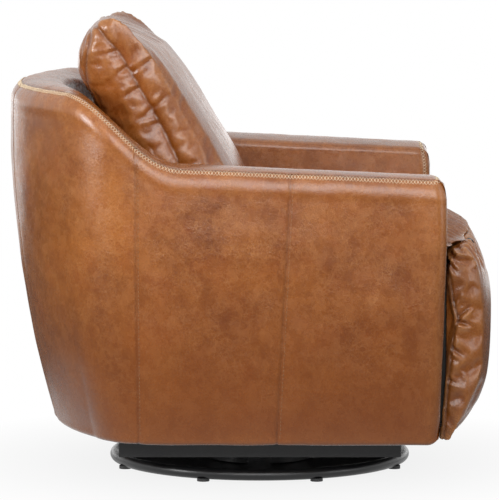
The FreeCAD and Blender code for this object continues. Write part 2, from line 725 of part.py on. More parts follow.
def back_point(along, out):
    """A (Y, Z) point measured up the lean of the back and forward out of it, from the pivot."""
    turn = math.radians(dim("back_lean"))
    y, z = back_axis()
    return (y + along * math.sin(turn) - out * math.cos(turn), z + along * math.cos(turn) + out * math.sin(turn))


def leaning_block(x, along, out):
    corners = [(along[0], out[0]), (along[1], out[0]), (along[1], out[1]), (along[0], out[1])]
    face = Part.Face(profile_wire([back_point(a, o) for a, o in corners], x[0]))
    return face.extrude(Vector(x[1] - x[0], 0, 0))


def cushion_section(x, pull, rear_cut):
    """One section of the back cushion: near its sides the rear is cut away to clear the shell."""
    turn = math.radians(dim("back_lean"))
    points = []
    depth = max(out for _, out in BACK_PROFILE)
    for along, out in drawn_in(BACK_PROFILE, pull):
        deep = blend(rear_cut, depth, out / depth)
        y = BACK_START[0] + along * math.sin(turn) - deep * math.cos(turn)
        z = BACK_START[1] + along * math.cos(turn) + deep * math.sin(turn)
        points.append((y, z))
    return profile_wire(points, x)


def back():
    node(rod("torque_bar", "x", 12, 496, (-248, "@back_pivot_y", "@back_pivot_z")), "back_torque_tube")
    length = dim("post_length")
    solid_node("back_posts", mirror_pair(leaning_block(POST_X, (0, length), (-8, 8))))
    inner = POST_X[0]
    bars = [leaning_block((-inner, inner), span, (-8, 8)) for span in ((60, 80), (length - 20, length))]
    solid_node("back_crossbars", Part.makeCompound(bars))
    solid_node("back_webbing", leaning_block((-180, 180), (62, length - 2), (8, 11)))
    pivot = back_axis()
    pin_at = cam_path()[0]
    lever = yz_bar((104, 109), pivot, (pin_at.y, pin_at.z), 13)
    lever = lever.fuse(x_pin((104, 121), (pin_at.y, pin_at.z), dim("cam_pin")))
    solid_node("cam_levers", mirror_pair(lever))
    half = dim("seat_half")
    stations = [(half, 26, 100), (half - 12, 10, 70), (half - 45, 3, 30), (half - 85, 0, 2), (half / 4, 0, 0)]
    rows = [(-x, pull, rear) for x, pull, rear in stations]
    rows += [(x, pull, rear) for x, pull, rear in reversed(stations)]
    solid_node("back_cushion", loft([cushion_section(*row) for row in rows]))


# Control panel on the inner face of the right arm
PANEL_THICK = 6
PANEL_Y_HALF = 48
PANEL_Z_HALF = 16


def controls():
    wall = "(@half_width - @arm_wall)"
    face = (f"-{wall}", f"-{wall} + {PANEL_THICK}")
    plate = box("panel_plate", face, (f"@panel_y - {PANEL_Y_HALF}", f"@panel_y + {PANEL_Y_HALF}"),
                (f"@panel_z - {PANEL_Z_HALF}", f"@panel_z + {PANEL_Z_HALF}"))
    holes = []
    for name, sign in (("open_button", -1), ("close_button", 1)):
        y = f"@panel_y + {sign} * @button_gap"
        holes.append(rod(name + "_hole", "x", f"@button_radius + {RUN_GAP}", 12, (f"-{wall} - 2", y, "@panel_z")))
        cap = rod(name + "_cap", "x", "@button_radius", 7, (f"-{wall} + 2", y, "@panel_z"))
        node(cap, name)
    node(cut("panel_bored", plate, fuse("panel_holes", holes)), "control_panel")


swivel_base()
outer_body()
chassis()
actuator()
seat()
footrest()
drive()
back()
controls()
doc.recompute()

os.makedirs("parts", exist_ok=True)
for item in doc.Objects:
    if "Invalid" in item.State or "Error" in item.State:
        raise RuntimeError(f"{item.Name} did not compute: {item.State}")
for item in SUBPARTS:
    if item.Shape.isNull() or not item.Shape.isValid():
        raise RuntimeError(f"{item.Label} has no valid shape")
    item.Shape.exportStep(f"parts/{item.Label}.step")
    bounds = item.Shape.BoundBox
    print(f"{item.Label:24s} x {bounds.XMin:7.1f} {bounds.XMax:7.1f}  y {bounds.YMin:7.1f} {bounds.YMax:7.1f}"
          f"  z {bounds.ZMin:6.1f} {bounds.ZMax:6.1f}  {item.Shape.Volume / 1000:9.1f} cm3"
          f"  {len(item.Shape.Solids)} solids")
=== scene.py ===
# %% [markdown]
# # A power swivel recliner in leather
# The real chair is a barrel of padded leather on a round swivel base. A loose-looking back cushion and a
# boxed seat sit inside the barrel, and a padded footrest hangs under the front of the seat.
# The frame below already holds every hard part in its true place. This lesson dresses it: the leather wall,
# the cushions, the stitching, the finishes, and the light and camera of the photograph.

import json
import math

import bmesh
import bpy
import numpy as np
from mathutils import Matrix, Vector, noise


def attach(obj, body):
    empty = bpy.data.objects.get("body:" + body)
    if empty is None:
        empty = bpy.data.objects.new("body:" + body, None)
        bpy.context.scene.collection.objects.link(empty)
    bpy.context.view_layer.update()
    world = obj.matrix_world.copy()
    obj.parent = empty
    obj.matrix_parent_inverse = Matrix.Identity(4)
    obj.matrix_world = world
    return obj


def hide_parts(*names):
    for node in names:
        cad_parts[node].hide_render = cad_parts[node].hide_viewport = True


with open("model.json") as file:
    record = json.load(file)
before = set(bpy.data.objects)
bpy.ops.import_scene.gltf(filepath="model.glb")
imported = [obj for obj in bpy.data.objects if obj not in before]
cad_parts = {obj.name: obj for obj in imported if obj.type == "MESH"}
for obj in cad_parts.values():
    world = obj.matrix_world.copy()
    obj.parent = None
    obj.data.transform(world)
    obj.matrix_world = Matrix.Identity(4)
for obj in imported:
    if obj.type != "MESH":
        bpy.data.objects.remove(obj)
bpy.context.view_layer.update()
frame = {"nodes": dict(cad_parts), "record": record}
nodes = frame["nodes"]

# %% [markdown]
# ## Camera, floor and light
# The photograph is an exact side view from far away, so a long lens gives almost no perspective.
# The camera stands on the chair's right, a little above the seat, and looks slightly down.
# Big soft lamps give the pale streaks along the rolled edges. The floor is white for the camera and, close to
# the chair, in reflections, so that it lights the low edges without greying the walls.

# %% Camera
scene = bpy.context.scene
scene.view_settings.view_transform = "Standard"

CAMERA_PLACE = Vector((-8.5, 0.020, 1.330))
CAMERA_AIM = Vector((0.0, 0.020, 0.417))
camera_data = bpy.data.cameras.new("side_camera")
camera_data.sensor_width = 36.0
camera_data.lens = 312.9
camera = bpy.data.objects.new("side_camera", camera_data)
camera.location = CAMERA_PLACE
camera.rotation_euler = (CAMERA_AIM - CAMERA_PLACE).to_track_quat("-Z", "Y").to_euler()
scene.collection.objects.link(camera)
scene.camera = camera
print("camera lens", camera_data.lens)


# %% Node helpers
def set_input(tree, socket, value):
    """Gives an input a plain value, or links it where the value is another node's output."""
    if isinstance(value, bpy.types.NodeSocket):
        tree.links.new(value, socket)
    else:
        socket.default_value = value


def set_inputs(tree, made, **values):
    for name, value in values.items():
        set_input(tree, made.inputs[name.replace("_", " ")], value)


def node_in(tree, kind, **settings):
    """A new node with its properties and its inputs set by name."""
    made = tree.nodes.new(kind)
    for name, value in settings.items():
        if hasattr(made, name):
            setattr(made, name, value)
        else:
            set_inputs(tree, made, **{name: value})
    return made


def maths(tree, operation, first, second):
    """A Math node; each operand is a number or a socket."""
    made = node_in(tree, "ShaderNodeMath", operation=operation)
    set_input(tree, made.inputs[0], first)
    set_input(tree, made.inputs[1], second)
    return made.outputs[0]


def stretch(tree, value, low, high, start=0.0, end=1.0):
    """Maps low..high of a socket to start..end, clamped."""
    made = node_in(tree, "ShaderNodeMapRange", Value=value, From_Min=low, From_Max=high,
                   To_Min=start, To_Max=end)
    return made.outputs["Result"]


def mix_shaders(tree, factor, first, second, leave):
    """Blends two shader nodes into the surface of an output node."""
    made = tree.nodes.new("ShaderNodeMixShader")
    for socket, value in zip(made.inputs, (factor, first.outputs[0], second.outputs[0])):
        set_input(tree, socket, value)
    tree.links.new(made.outputs[0], leave.inputs["Surface"])


def new_material(name):
    material = bpy.data.materials.new(name)
    material.use_nodes = True
    tree = material.node_tree
    place = tree.nodes.new("ShaderNodeTexCoord").outputs["Object"]
    return material, tree, tree.nodes["Principled BSDF"], place


def mesh_object(name, vertices, faces):
    mesh = bpy.data.meshes.new(name)
    mesh.from_pydata([tuple(v) for v in vertices], [], faces)
    mesh.update()
    made = bpy.data.objects.new(name, mesh)
    scene.collection.objects.link(made)
    return made


# %% Floor and light
WHITE = (1, 1, 1, 1)
FLOOR_GREY = (0.25, 0.25, 0.25, 1)


def white_ground(name):
    """A pale floor that keeps the shadow near the chair and fades to plain white away from it."""
    material, tree, principled, place = new_material(name)
    set_inputs(tree, principled, Base_Color=FLOOR_GREY, Roughness=0.9, Specular_IOR_Level=0.0)
    glow = node_in(tree, "ShaderNodeEmission", Color=WHITE, Strength=1.0)
    away = node_in(tree, "ShaderNodeVectorMath", operation="LENGTH", Vector=place).outputs["Value"]
    rays = tree.nodes.new("ShaderNodeLightPath").outputs
    shown = maths(tree, "MULTIPLY", rays["Is Camera Ray"], stretch(tree, away, 0.25, 0.75, 0.86, 1.0))
    mirrored = maths(tree, "MULTIPLY", rays["Is Glossy Ray"], stretch(tree, away, 0.5, 1.1, 0.8, 0.0))
    glowing = maths(tree, "MAXIMUM", shown, mirrored)
    mix_shaders(tree, glowing, principled, glow, tree.nodes["Material Output"])
    return material


floor = mesh_object("studio_floor", [(-9, -9, 0), (9, -9, 0), (9, 9, 0), (-9, 9, 0)], [(0, 1, 2, 3)])
floor.data.materials.append(white_ground("floor_white"))


def soft_lamp(name, place, aim, size, power):
    data = bpy.data.lights.new(name, "AREA")
    data.shape = "RECTANGLE"
    data.size, data.size_y = size
    data.energy = power
    lamp = bpy.data.objects.new(name, data)
    lamp.location = place
    lamp.rotation_euler = (Vector(aim) - Vector(place)).to_track_quat("-Z", "Y").to_euler()
    scene.collection.objects.link(lamp)
    return lamp


MIDDLE = (0.0, 0.0, 0.45)
NEAR_ARM = (-0.3, 0.0, 0.5)
soft_lamp("top_softbox", (0.7, 0.2, 3.2), MIDDLE, (2.0, 2.4), 12)
soft_lamp("high_key", (-1.3, -0.1, 2.3), NEAR_ARM, (2.6, 0.8), 8)
soft_lamp("side_softbox", (-3.3, 0.1, 1.48), MIDDLE, (3.4, 1.3), 74)
soft_lamp("rear_strip", (-1.60, 2.9, 1.10), MIDDLE, (0.9, 0.9), 44)
soft_lamp("front_strip", (-1.6, -3.2, 1.2), MIDDLE, (1.4, 2.0), 20)
backdrop = soft_lamp("backdrop_panel", (3.2, 0.0, 0.36), MIDDLE, (5.0, 0.7), 12)
backdrop.visible_camera = False

world = bpy.data.worlds.new("studio")
scene.world = world
world.use_nodes = True
world_tree = world.node_tree
world_tree.nodes.clear()
rays = world_tree.nodes.new("ShaderNodeLightPath").outputs
plain_light = node_in(world_tree, "ShaderNodeBackground", Color=WHITE, Strength=0.14)
white_back = node_in(world_tree, "ShaderNodeBackground", Color=WHITE, Strength=1.0)
seen = maths(world_tree, "MAXIMUM", rays["Is Camera Ray"], rays["Is Glossy Ray"])
seen = maths(world_tree, "MAXIMUM", seen, rays["Is Transmission Ray"])
mix_shaders(world_tree, seen, plain_light, white_back, world_tree.nodes.new("ShaderNodeOutputWorld"))
print("lamps:", len(bpy.data.lights))

# %% [markdown]
# ## Leather
# The hide is waxed: it is darker where it lies flat, paler where it is stretched over an edge, and mottled
# all over. Noise at several scales gives that: big clouds for the tanning, middle-sized blotches for
# handling, specks and a net of fine veins, and a cell pattern for the grain. They are one group that every
# piece shares. Two attributes of the mesh steer it: "worn" on rolled edges, and painted shade in the grooves
# of the seams, folds and pleats. Shade is also painted into the colour: darker towards the hem of the wall
# and the pad, and evenly darker on the cushions and the pad.


# %% Leather grain group
def new_group(name, inputs, outputs):
    """A shader group with a vector input called Place, number inputs with defaults, and number outputs."""
    group = bpy.data.node_groups.new(name, "ShaderNodeTree")
    group.interface.new_socket("Place", in_out="INPUT", socket_type="NodeSocketVector")
    for title, value in inputs.items():
        group.interface.new_socket(title, in_out="INPUT", socket_type="NodeSocketFloat").default_value = value
    for title in outputs:
        group.interface.new_socket(title, in_out="OUTPUT", socket_type="NodeSocketFloat")
    return group, group.nodes.new("NodeGroupInput").outputs, group.nodes.new("NodeGroupOutput")


def noise_value(tree, place, scale, detail, roughness=0.5, distortion=0.0):
    made = node_in(tree, "ShaderNodeTexNoise", Vector=place, Scale=scale, Detail=detail, Roughness=roughness,
                   Distortion=distortion)
    return made.outputs["Fac"]


HIDE_LAYERS = ("Clouds", "Ruddy", "Blotches", "Scuffs", "Specks", "Veins", "Grain Height")
hide_group, hide_in, hide_out = new_group("waxed_hide", {"Grain Scale": 420.0}, HIDE_LAYERS)
hide_place = hide_in["Place"]


def hide_noise(scale, detail, roughness, distortion, low, high):
    value = noise_value(hide_group, hide_place, scale, detail, roughness, distortion)
    return stretch(hide_group, value, low, high)


clouds = hide_noise(6.0, 6.0, 0.66, 0.2, 0.36, 0.64)
ruddy = hide_noise(13.0, 4.0, 0.6, 0.2, 0.48, 0.68)
blotches = hide_noise(34.0, 6.0, 0.72, 0.2, 0.42, 0.68)
scuffs = hide_noise(120.0, 5.0, 0.78, 0.2, 0.46, 0.72)
specks = hide_noise(330.0, 3.0, 0.7, 0.0, 0.40, 0.62)
broken = hide_noise(20.0, 4.0, 0.75, 0.0, 0.36, 0.68)
drift = node_in(hide_group, "ShaderNodeTexNoise", Vector=hide_place, Scale=45.0, Detail=3.0)
drift = node_in(hide_group, "ShaderNodeVectorMath", operation="SCALE", Scale=0.016,
                Vector=drift.outputs["Color"])
drifted = node_in(hide_group, "ShaderNodeVectorMath", operation="ADD", Vector=hide_place)
set_input(hide_group, drifted.inputs[1], drift.outputs[0])


def vein_lines(scale, width):
    """Thin lines between the cells of the hide."""
    net = node_in(hide_group, "ShaderNodeTexVoronoi", feature="DISTANCE_TO_EDGE", Scale=scale,
                  Vector=drifted.outputs[0])
    return stretch(hide_group, net.outputs["Distance"], width, 0.0)


veins = maths(hide_group, "MAXIMUM", vein_lines(62.0, 0.05), vein_lines(150.0, 0.09))
veins = maths(hide_group, "MULTIPLY", veins, broken)
cells = node_in(hide_group, "ShaderNodeTexVoronoi", feature="F1", Vector=hide_place,
                Scale=hide_in["Grain Scale"])
pebbles = maths(hide_group, "SUBTRACT", 1.0, cells.outputs["Distance"])
fine_creases = noise_value(hide_group, hide_place, 95.0, 4.0, 0.6, 0.8)
grain_height = maths(hide_group, "ADD", maths(hide_group, "MULTIPLY", pebbles, 0.45), fine_creases)
grain_height = maths(hide_group, "SUBTRACT", grain_height, maths(hide_group, "MULTIPLY", veins, 0.25))
for title, socket in zip(HIDE_LAYERS, (clouds, ruddy, blotches, scuffs, specks, veins, grain_height)):
    set_input(hide_group, hide_out.inputs[title], socket)
print("group:", hide_group.name)


# %% Leather material
def mix_colour(tree, factor, first, second):
    """Blends two colours (a socket or a plain RGB) by a factor socket or number."""
    made = node_in(tree, "ShaderNodeMix", data_type="RGBA")
    for socket, value in ((made.inputs[0], factor), (made.inputs[6], first), (made.inputs[7], second)):
        set_input(tree, socket, (*value, 1.0) if isinstance(value, tuple) else value)
    return made.outputs[2]


def attribute(tree, name):
    return node_in(tree, "ShaderNodeAttribute", attribute_name=name).outputs["Fac"]


def bump(tree, height, strength, distance):
    made = node_in(tree, "ShaderNodeBump", Height=height, Strength=strength, Distance=distance)
    return made.outputs["Normal"]


def group_node(tree, group, place):
    return node_in(tree, "ShaderNodeGroup", node_tree=group, Place=place)


TAN = (0.370, 0.114, 0.018)
DEEP_BROWN = (0.175, 0.042, 0.005)
RUDDY = (0.290, 0.060, 0.007)
PALE_TAN = (0.520, 0.185, 0.036)
STRETCHED = (0.640, 0.300, 0.110)
# The colour of the shade painted into grooves of seams, folds and pleats.
GROOVE_SHADE = (0.070, 0.022, 0.007)
TINTS = (("Ruddy", 0.40, RUDDY), ("Blotches", 0.36, PALE_TAN), ("Specks", 0.34, DEEP_BROWN),
         ("Scuffs", 0.20, PALE_TAN), ("Veins", 0.34, STRETCHED))
HEM_SHADE_TOP, HEM_SHADE_LOW = 0.46, 0.12


def waxed_leather(name, shift, low_painted_shade=0.0, even_painted_shade=0.0):
    """Tan leather; shift moves the pattern, so that no two pieces are cut from the same place in the hide.

    The third argument paints shade into the colour, darker towards the hem, and the fourth paints shade
    evenly all over.
    """
    material, tree, principled, place = new_material(name)
    moved = node_in(tree, "ShaderNodeMapping", Location=shift, Vector=place)
    hide = group_node(tree, hide_group, moved.outputs[0]).outputs
    worn = attribute(tree, "worn")
    groove_shade = attribute(tree, "groove_shade")
    colour = mix_colour(tree, hide["Clouds"], DEEP_BROWN, TAN)
    for title, share, tint in TINTS:
        colour = mix_colour(tree, maths(tree, "MULTIPLY", hide[title], share), colour, tint)
    # Painted shade: the colour darkens towards the hem, and evenly all over by the fourth argument.
    height = node_in(tree, "ShaderNodeSeparateXYZ", Vector=place).outputs["Z"]
    near_hem = stretch(tree, height, HEM_SHADE_TOP, HEM_SHADE_LOW)
    painted_shade = maths(tree, "MAXIMUM", maths(tree, "MULTIPLY", near_hem, low_painted_shade), even_painted_shade)
    colour = mix_colour(tree, painted_shade, colour, DEEP_BROWN)
    scuffed = maths(tree, "ADD", maths(tree, "MULTIPLY", hide["Scuffs"], 0.35), 0.45)
    colour = mix_colour(tree, maths(tree, "MULTIPLY", worn, scuffed), colour, STRETCHED)
    # Painted shade in the grooves of seams, folds and pleats.
    colour = mix_colour(tree, maths(tree, "MULTIPLY", groove_shade, 0.85), colour, GROOVE_SHADE)
    rough = maths(tree, "ADD", maths(tree, "MULTIPLY", hide["Blotches"], 0.10), 0.24)
    rough = maths(tree, "SUBTRACT", rough, maths(tree, "MULTIPLY", worn, 0.05))
    grain = bump(tree, hide["Grain Height"], 0.35, 0.0009)
    set_inputs(tree, principled, Base_Color=colour, Roughness=rough, Specular_IOR_Level=0.50,
               Coat_Weight=0.10, Coat_Roughness=0.22, Normal=grain)
    return material


# The wall and the pad get painted shade towards the hem; the cushions and the pad get an even painted shade.
wall_leather = waxed_leather("wall_leather", (0.0, 0.0, 0.0), 0.80)
cushion_leather = waxed_leather("cushion_leather", (1.7, 0.4, 2.1), 0.0, 0.28)
pad_leather = waxed_leather("pad_leather", (3.1, 2.2, 0.6), 0.45, 0.20)
print("leathers:", wall_leather.name, cushion_leather.name, pad_leather.name)

# %% [markdown]
# ## The padded wall
# On the real chair one wall of foam and leather runs up one arm, round the back and down the other arm.
# It could be sculpted, but its shape follows a rule: one cross-section travels along a plan line and grows
# taller behind. So the wall is swept here as a grid, fine enough to sink the sewn seams into it.

# %% Wall sizes
HALF_WIDTH = 0.450
ARM_FRONT = 0.345
ARM_WALL, BACK_WALL = 0.128, 0.108
WALL_BOTTOM = 0.093
ARM_SEAM, BACK_SEAM, SEAM_SLOPE = 0.596, 0.755, 0.045
RISE_START, RISE_LENGTH = 0.155, 0.225
CROWN = 0.003
CORNER_RADIUS, REAR_RADIUS, CORNER_TURN, REAR_REACH = 0.196, 0.650, 56.0, 0.487
SIDE_TAPER, REAR_TAPER = 0.022, 0.082
FRONT_ROUND = 0.022

rear_end = 90.0 - CORNER_TURN
corner_y = REAR_REACH - REAR_RADIUS + REAR_RADIUS * math.cos(math.radians(rear_end))
corner_y -= CORNER_RADIUS * math.sin(math.radians(CORNER_TURN))
corner_x = HALF_WIDTH - CORNER_RADIUS


def smooth(share):
    share = np.clip(share, 0.0, 1.0)
    return share * share * (3 - 2 * share)


def near_line(distance, width):
    """1 on a line, falling to 0 away from it."""
    return np.exp(-((distance / width) ** 2))


# %% Plan line of the wall
def finer_near(values, places, reach, step):
    """Adds closely spaced values round each place where a seam needs them."""
    extra = [place + offset for place in places for offset in np.arange(-reach, reach + step / 2, step)]
    low, high = min(values), max(values)
    merged = sorted(v for v in list(values) + extra if low <= v <= high)
    kept = [merged[0]]
    for value in merged[1:]:
        if value - kept[-1] > step * 0.45:
            kept.append(value)
    return kept


SIDE_SEAM_TOP, SIDE_SEAM_LOW = -0.057, -0.031
SIDE_SEAM_MIDDLE = -0.044
PANEL_SEAM = 0.232
PANEL_SEAM_TURN, REAR_SEAM_TURN = 5.6, 9.0

side_ys = np.arange(FRONT_ROUND - ARM_FRONT, corner_y - 0.004, 0.009)
side_ys = finer_near(side_ys, [SIDE_SEAM_MIDDLE], 0.030, 0.003)
side_ys = [y for y in side_ys if y < corner_y - 0.003]
corner_turns = finer_near(np.arange(0.0, CORNER_TURN, 2.4), [PANEL_SEAM_TURN], 3.0, 0.8)
corner_turns = [turn for turn in corner_turns if turn < CORNER_TURN - 0.4]
rear_turns = finer_near(np.arange(-rear_end, 0.01, 0.8), [-REAR_SEAM_TURN], 0.9, 0.25)

right_half = [((-HALF_WIDTH, y), (-1.0, 0.0)) for y in side_ys]
for turn in np.radians(corner_turns):
    out = (-math.cos(turn), math.sin(turn))
    right_half.append(((-corner_x + CORNER_RADIUS * out[0], corner_y + CORNER_RADIUS * out[1]), out))
for turn in np.radians(rear_turns):
    out = (math.sin(turn), math.cos(turn))
    right_half.append(((REAR_RADIUS * out[0], REAR_REACH - REAR_RADIUS + REAR_RADIUS * out[1]), out))
left_half = [((-p[0], p[1]), (-o[0], o[1])) for p, o in reversed(right_half[:-1])]
stations = right_half + left_half
print("wall stations:", len(stations))


# %% Cross-section of the wall
def arc_through(first, middle, last, shares):
    """Points on the arc through three points, at shares 0..1 of its turn."""
    (ax, ay), (bx, by), (cx, cy) = first, middle, last
    d = 2 * (ax * (by - cy) + bx * (cy - ay) + cx * (ay - by))
    ux = ((ax**2 + ay**2) * (by - cy) + (bx**2 + by**2) * (cy - ay) + (cx**2 + cy**2) * (ay - by)) / d
    uy = ((ax**2 + ay**2) * (cx - bx) + (bx**2 + by**2) * (ax - cx) + (cx**2 + cy**2) * (bx - ax)) / d
    radius = math.hypot(ax - ux, ay - uy)
    start = math.atan2(ay - uy, ax - ux)
    sweep = math.atan2(cy - uy, cx - ux) - start
    through = math.atan2(by - uy, bx - ux) - start
    sweep, through = sweep % (2 * math.pi), through % (2 * math.pi)
    if through > sweep:
        sweep -= 2 * math.pi
    turns = [start + sweep * share for share in shares]
    return [(ux + radius * math.cos(turn), uy + radius * math.sin(turn)) for turn in turns]


def line_through(first, last, shares):
    return [(first[0] + (last[0] - first[0]) * t, first[1] + (last[1] - first[1]) * t) for t in shares]


def shares(count, bend=1.0, towards_end=False):
    steps = np.arange(count) / count
    return 1 - (1 - steps) ** bend if towards_end else steps**bend


SECTION_COUNTS = {
    "hem": 5, "side": 52, "shoulder": 14, "crest": 30, "roll": 10, "inside": 34, "underside": 10,
}
names = list(SECTION_COUNTS)
first_of = {name: sum(SECTION_COUNTS[n] for n in names[:i]) for i, name in enumerate(names)}
SEAM_INDEX = first_of["crest"]
ring_size = sum(SECTION_COUNTS.values())


def seam_height(y):
    arm = ARM_SEAM + SEAM_SLOPE * (y + ARM_FRONT)
    share = float(smooth((y - RISE_START) / RISE_LENGTH))
    return arm + (BACK_SEAM - arm) * share


def wall_section(point, out):
    """(outward, height) points of one cross-section, from the outer hem up and over to the inside."""
    rearward = out[1] * out[1]
    top = seam_height(point[1])
    wall = ARM_WALL + (BACK_WALL - ARM_WALL) * rearward
    draw_in = SIDE_TAPER + (REAR_TAPER - SIDE_TAPER) * abs(out[1])
    shoulder = top - 0.045
    hem = (-draw_in - 0.012, WALL_BOTTOM)
    low = (-draw_in, WALL_BOTTOM + 0.010)
    middle = (-0.23 * draw_in, (WALL_BOTTOM + shoulder) / 2)
    high = (0.0, shoulder)
    seam = (-0.010 - 0.012 * rearward, top)
    middle_top = seam_height(point[1] - 0.52 * wall * out[1])
    inner_top = seam_height(point[1] - wall * out[1])
    crest = (-0.52 * wall, middle_top + CROWN)
    inner_edge = (0.009 - wall, inner_top - 0.004)
    inner_high = (-wall, inner_top - 0.020)
    inner_low = (-wall - 0.055 * rearward, WALL_BOTTOM)
    hem_bend = (-draw_in - 0.003, WALL_BOTTOM + 0.002)
    shoulder_bend = (-0.001 - 0.002 * rearward, top - 0.022)
    roll_bend = (0.0028 - wall, inner_top - 0.0095)
    counts = SECTION_COUNTS
    points = arc_through(hem, hem_bend, low, shares(counts["hem"]))
    points += arc_through(low, middle, high, shares(counts["side"]))
    points += arc_through(high, shoulder_bend, seam, shares(counts["shoulder"], 1.5, True))
    points += arc_through(seam, crest, inner_edge, shares(counts["crest"], 1.4))
    points += arc_through(inner_edge, roll_bend, inner_high, shares(counts["roll"]))
    points += line_through(inner_high, inner_low, shares(counts["inside"]))
    points += line_through(inner_low, hem, shares(counts["underside"]))
    return np.array(points)


sections = np.array([wall_section(point, out) for point, out in stations])
plan = np.array([point for point, _ in stations])
outward = np.array([out for _, out in stations])
print("wall section points:", ring_size)


# %% Rings of the wall, with rounded arm fronts
FRONT_HEIGHTS = [0.093, 0.300, 0.480, 0.560, 0.600, 0.640]
FRONT_YS = [-0.336, -0.343, -0.349, -0.348, -0.341, -0.338]


def ring_normals(section):
    """Outward directions in the section plane, pointing away from the foam."""
    ahead = np.roll(section, -1, axis=0) - np.roll(section, 1, axis=0)
    sideways = np.stack([ahead[:, 1], -ahead[:, 0]], axis=1)
    sideways /= np.maximum(np.linalg.norm(sideways, axis=1, keepdims=True), 1e-9)
    middle = section.mean(axis=0)
    if np.sum(sideways * (section - middle)) < 0:
        sideways = -sideways
    return sideways


def place_ring(section, point, out):
    x = point[0] + out[0] * section[:, 0]
    y = point[1] + out[1] * section[:, 0]
    return np.stack([x, y, section[:, 1]], axis=1)


def front_rings(station):
    """Rings that round an arm's front edge and close its face, from the edge inwards."""
    section = sections[station]
    normals = ring_normals(section)
    side = 1.0 if plan[station][0] > 0 else -1.0
    rings = []
    for turn in np.radians(np.arange(15, 91, 15)):
        inset = section - normals * FRONT_ROUND * (1 - math.cos(turn))
        y = -ARM_FRONT + FRONT_ROUND * (1 - math.sin(turn))
        rings.append(place_ring(inset, (side * HALF_WIDTH, y), (side, 0.0)))
    middle = rings[-1].mean(axis=0)
    last = rings[-1]
    for share in (0.10, 0.25, 0.45, 0.65, 0.83, 0.95):
        rings.append(last + (middle - last) * share)
    return rings, middle


rings = [place_ring(sections[k], plan[k], outward[k]) for k in range(len(stations))]
right_front, right_middle = front_rings(0)
left_front, left_middle = front_rings(len(stations) - 1)
wall_rings = np.array(right_front[::-1] + rings + left_front)
front_count = len(right_front)
front_shift = np.interp(wall_rings[..., 2], FRONT_HEIGHTS, FRONT_YS) + ARM_FRONT
wall_rings[..., 1] += front_shift * smooth((-0.230 - wall_rings[..., 1]) / 0.10)
print("wall rings:", wall_rings.shape)

# %% [markdown]
# The seams are where panels of hide meet, so the leather is pulled down there and swells between them.
# Each seam is a narrow groove inside a wide shallow dip, and small puckers cross the top seam.

# %% Seams and wrinkles in the wall
path_steps = np.linalg.norm(np.diff(plan, axis=0), axis=1)
path_along = np.pad(np.concatenate([[0.0], np.cumsum(path_steps)]), front_count, "edge")
path_total = path_along[-1]
from_front = np.minimum(path_along, path_total - path_along)

section_steps = np.linalg.norm(np.roll(wall_rings, -1, axis=1) - wall_rings, axis=2)
section_along = np.cumsum(section_steps, axis=1) - section_steps
from_top_seam = section_along - section_along[:, SEAM_INDEX:SEAM_INDEX + 1]
outer_side = np.zeros(ring_size)
outer_side[:SEAM_INDEX + 1] = 1.0

panel_along = PANEL_SEAM + ARM_FRONT - FRONT_ROUND
rear_along = path_total / 2 - math.radians(REAR_SEAM_TURN) * REAR_RADIUS
height_share = np.clip((wall_rings[..., 2] - WALL_BOTTOM) / (ARM_SEAM - WALL_BOTTOM), 0, 1)
side_seam_y = SIDE_SEAM_LOW + (SIDE_SEAM_TOP - SIDE_SEAM_LOW) * height_share
on_arm = np.abs(wall_rings[..., 0]) > HALF_WIDTH - 0.06
side_gap = np.where(on_arm, wall_rings[..., 1] - side_seam_y, 1.0)
panel_gap = np.repeat((from_front - panel_along)[:, None], ring_size, axis=1)
rear_gap = np.repeat((from_front - rear_along)[:, None], ring_size, axis=1)

seam_gap = np.minimum(np.abs(side_gap), np.minimum(np.abs(panel_gap), np.abs(rear_gap)))
groove = near_line(seam_gap, 0.0024) * outer_side
dip = near_line(seam_gap, 0.026) * outer_side
in_run = np.zeros(len(wall_rings))
in_run[front_count:-front_count] = 1.0
top_groove = near_line(from_top_seam, 0.0035) * in_run[:, None]
top_dip = near_line(from_top_seam, 0.018) * in_run[:, None]

# the front panel is sewn to the inner panel along the rounded front edge
front_groove = np.zeros(wall_rings.shape[:2])
for ring in (front_count - 2, len(wall_rings) - front_count + 1):
    front_groove[ring, SEAM_INDEX:first_of["underside"]] = 0.8


def soft_noise(points, scale, seed):
    offset = Vector((seed * 3.1, seed * 7.7, seed * 1.3))
    return np.array([noise.noise(Vector(p) * scale + offset) for p in points])


flat_points = wall_rings.reshape(-1, 3)
broad = soft_noise(flat_points, 7.0, 1).reshape(wall_rings.shape[:2])
small = soft_noise(flat_points, 24.0, 2).reshape(wall_rings.shape[:2])
along_points = np.stack([np.repeat(path_along[:, None], ring_size, axis=1).ravel() * 60,
                         np.sign(from_top_seam).ravel() * 4, flat_points[:, 2] * 6], axis=1)
pucker = soft_noise(along_points, 1.0, 3).reshape(wall_rings.shape[:2]) * near_line(from_top_seam, 0.030)
wall_lift = 0.0016 * broad + 0.0006 * small + 0.0010 * pucker * in_run[:, None]
wall_lift -= 0.0018 * groove + 0.0014 * dip + 0.0016 * top_groove + 0.0012 * top_dip + 0.0014 * front_groove
# Painted shade in the seam grooves.
wall_groove_shade = np.clip(0.40 * groove + 0.55 * top_groove + 0.5 * front_groove, 0, 1)
print("wall lift, mm:", round(wall_lift.min() * 1000, 2), round(wall_lift.max() * 1000, 2))


# %% Build the wall
def outward_faces(made):
    """Turns every face of a closed mesh outwards."""
    work = bmesh.new()
    work.from_mesh(made.data)
    bmesh.ops.recalc_face_normals(work, faces=work.faces)
    if work.calc_volume(signed=True) < 0:
        bmesh.ops.reverse_faces(work, faces=work.faces)
    work.to_mesh(made.data)
    work.free()
    made.data.update()


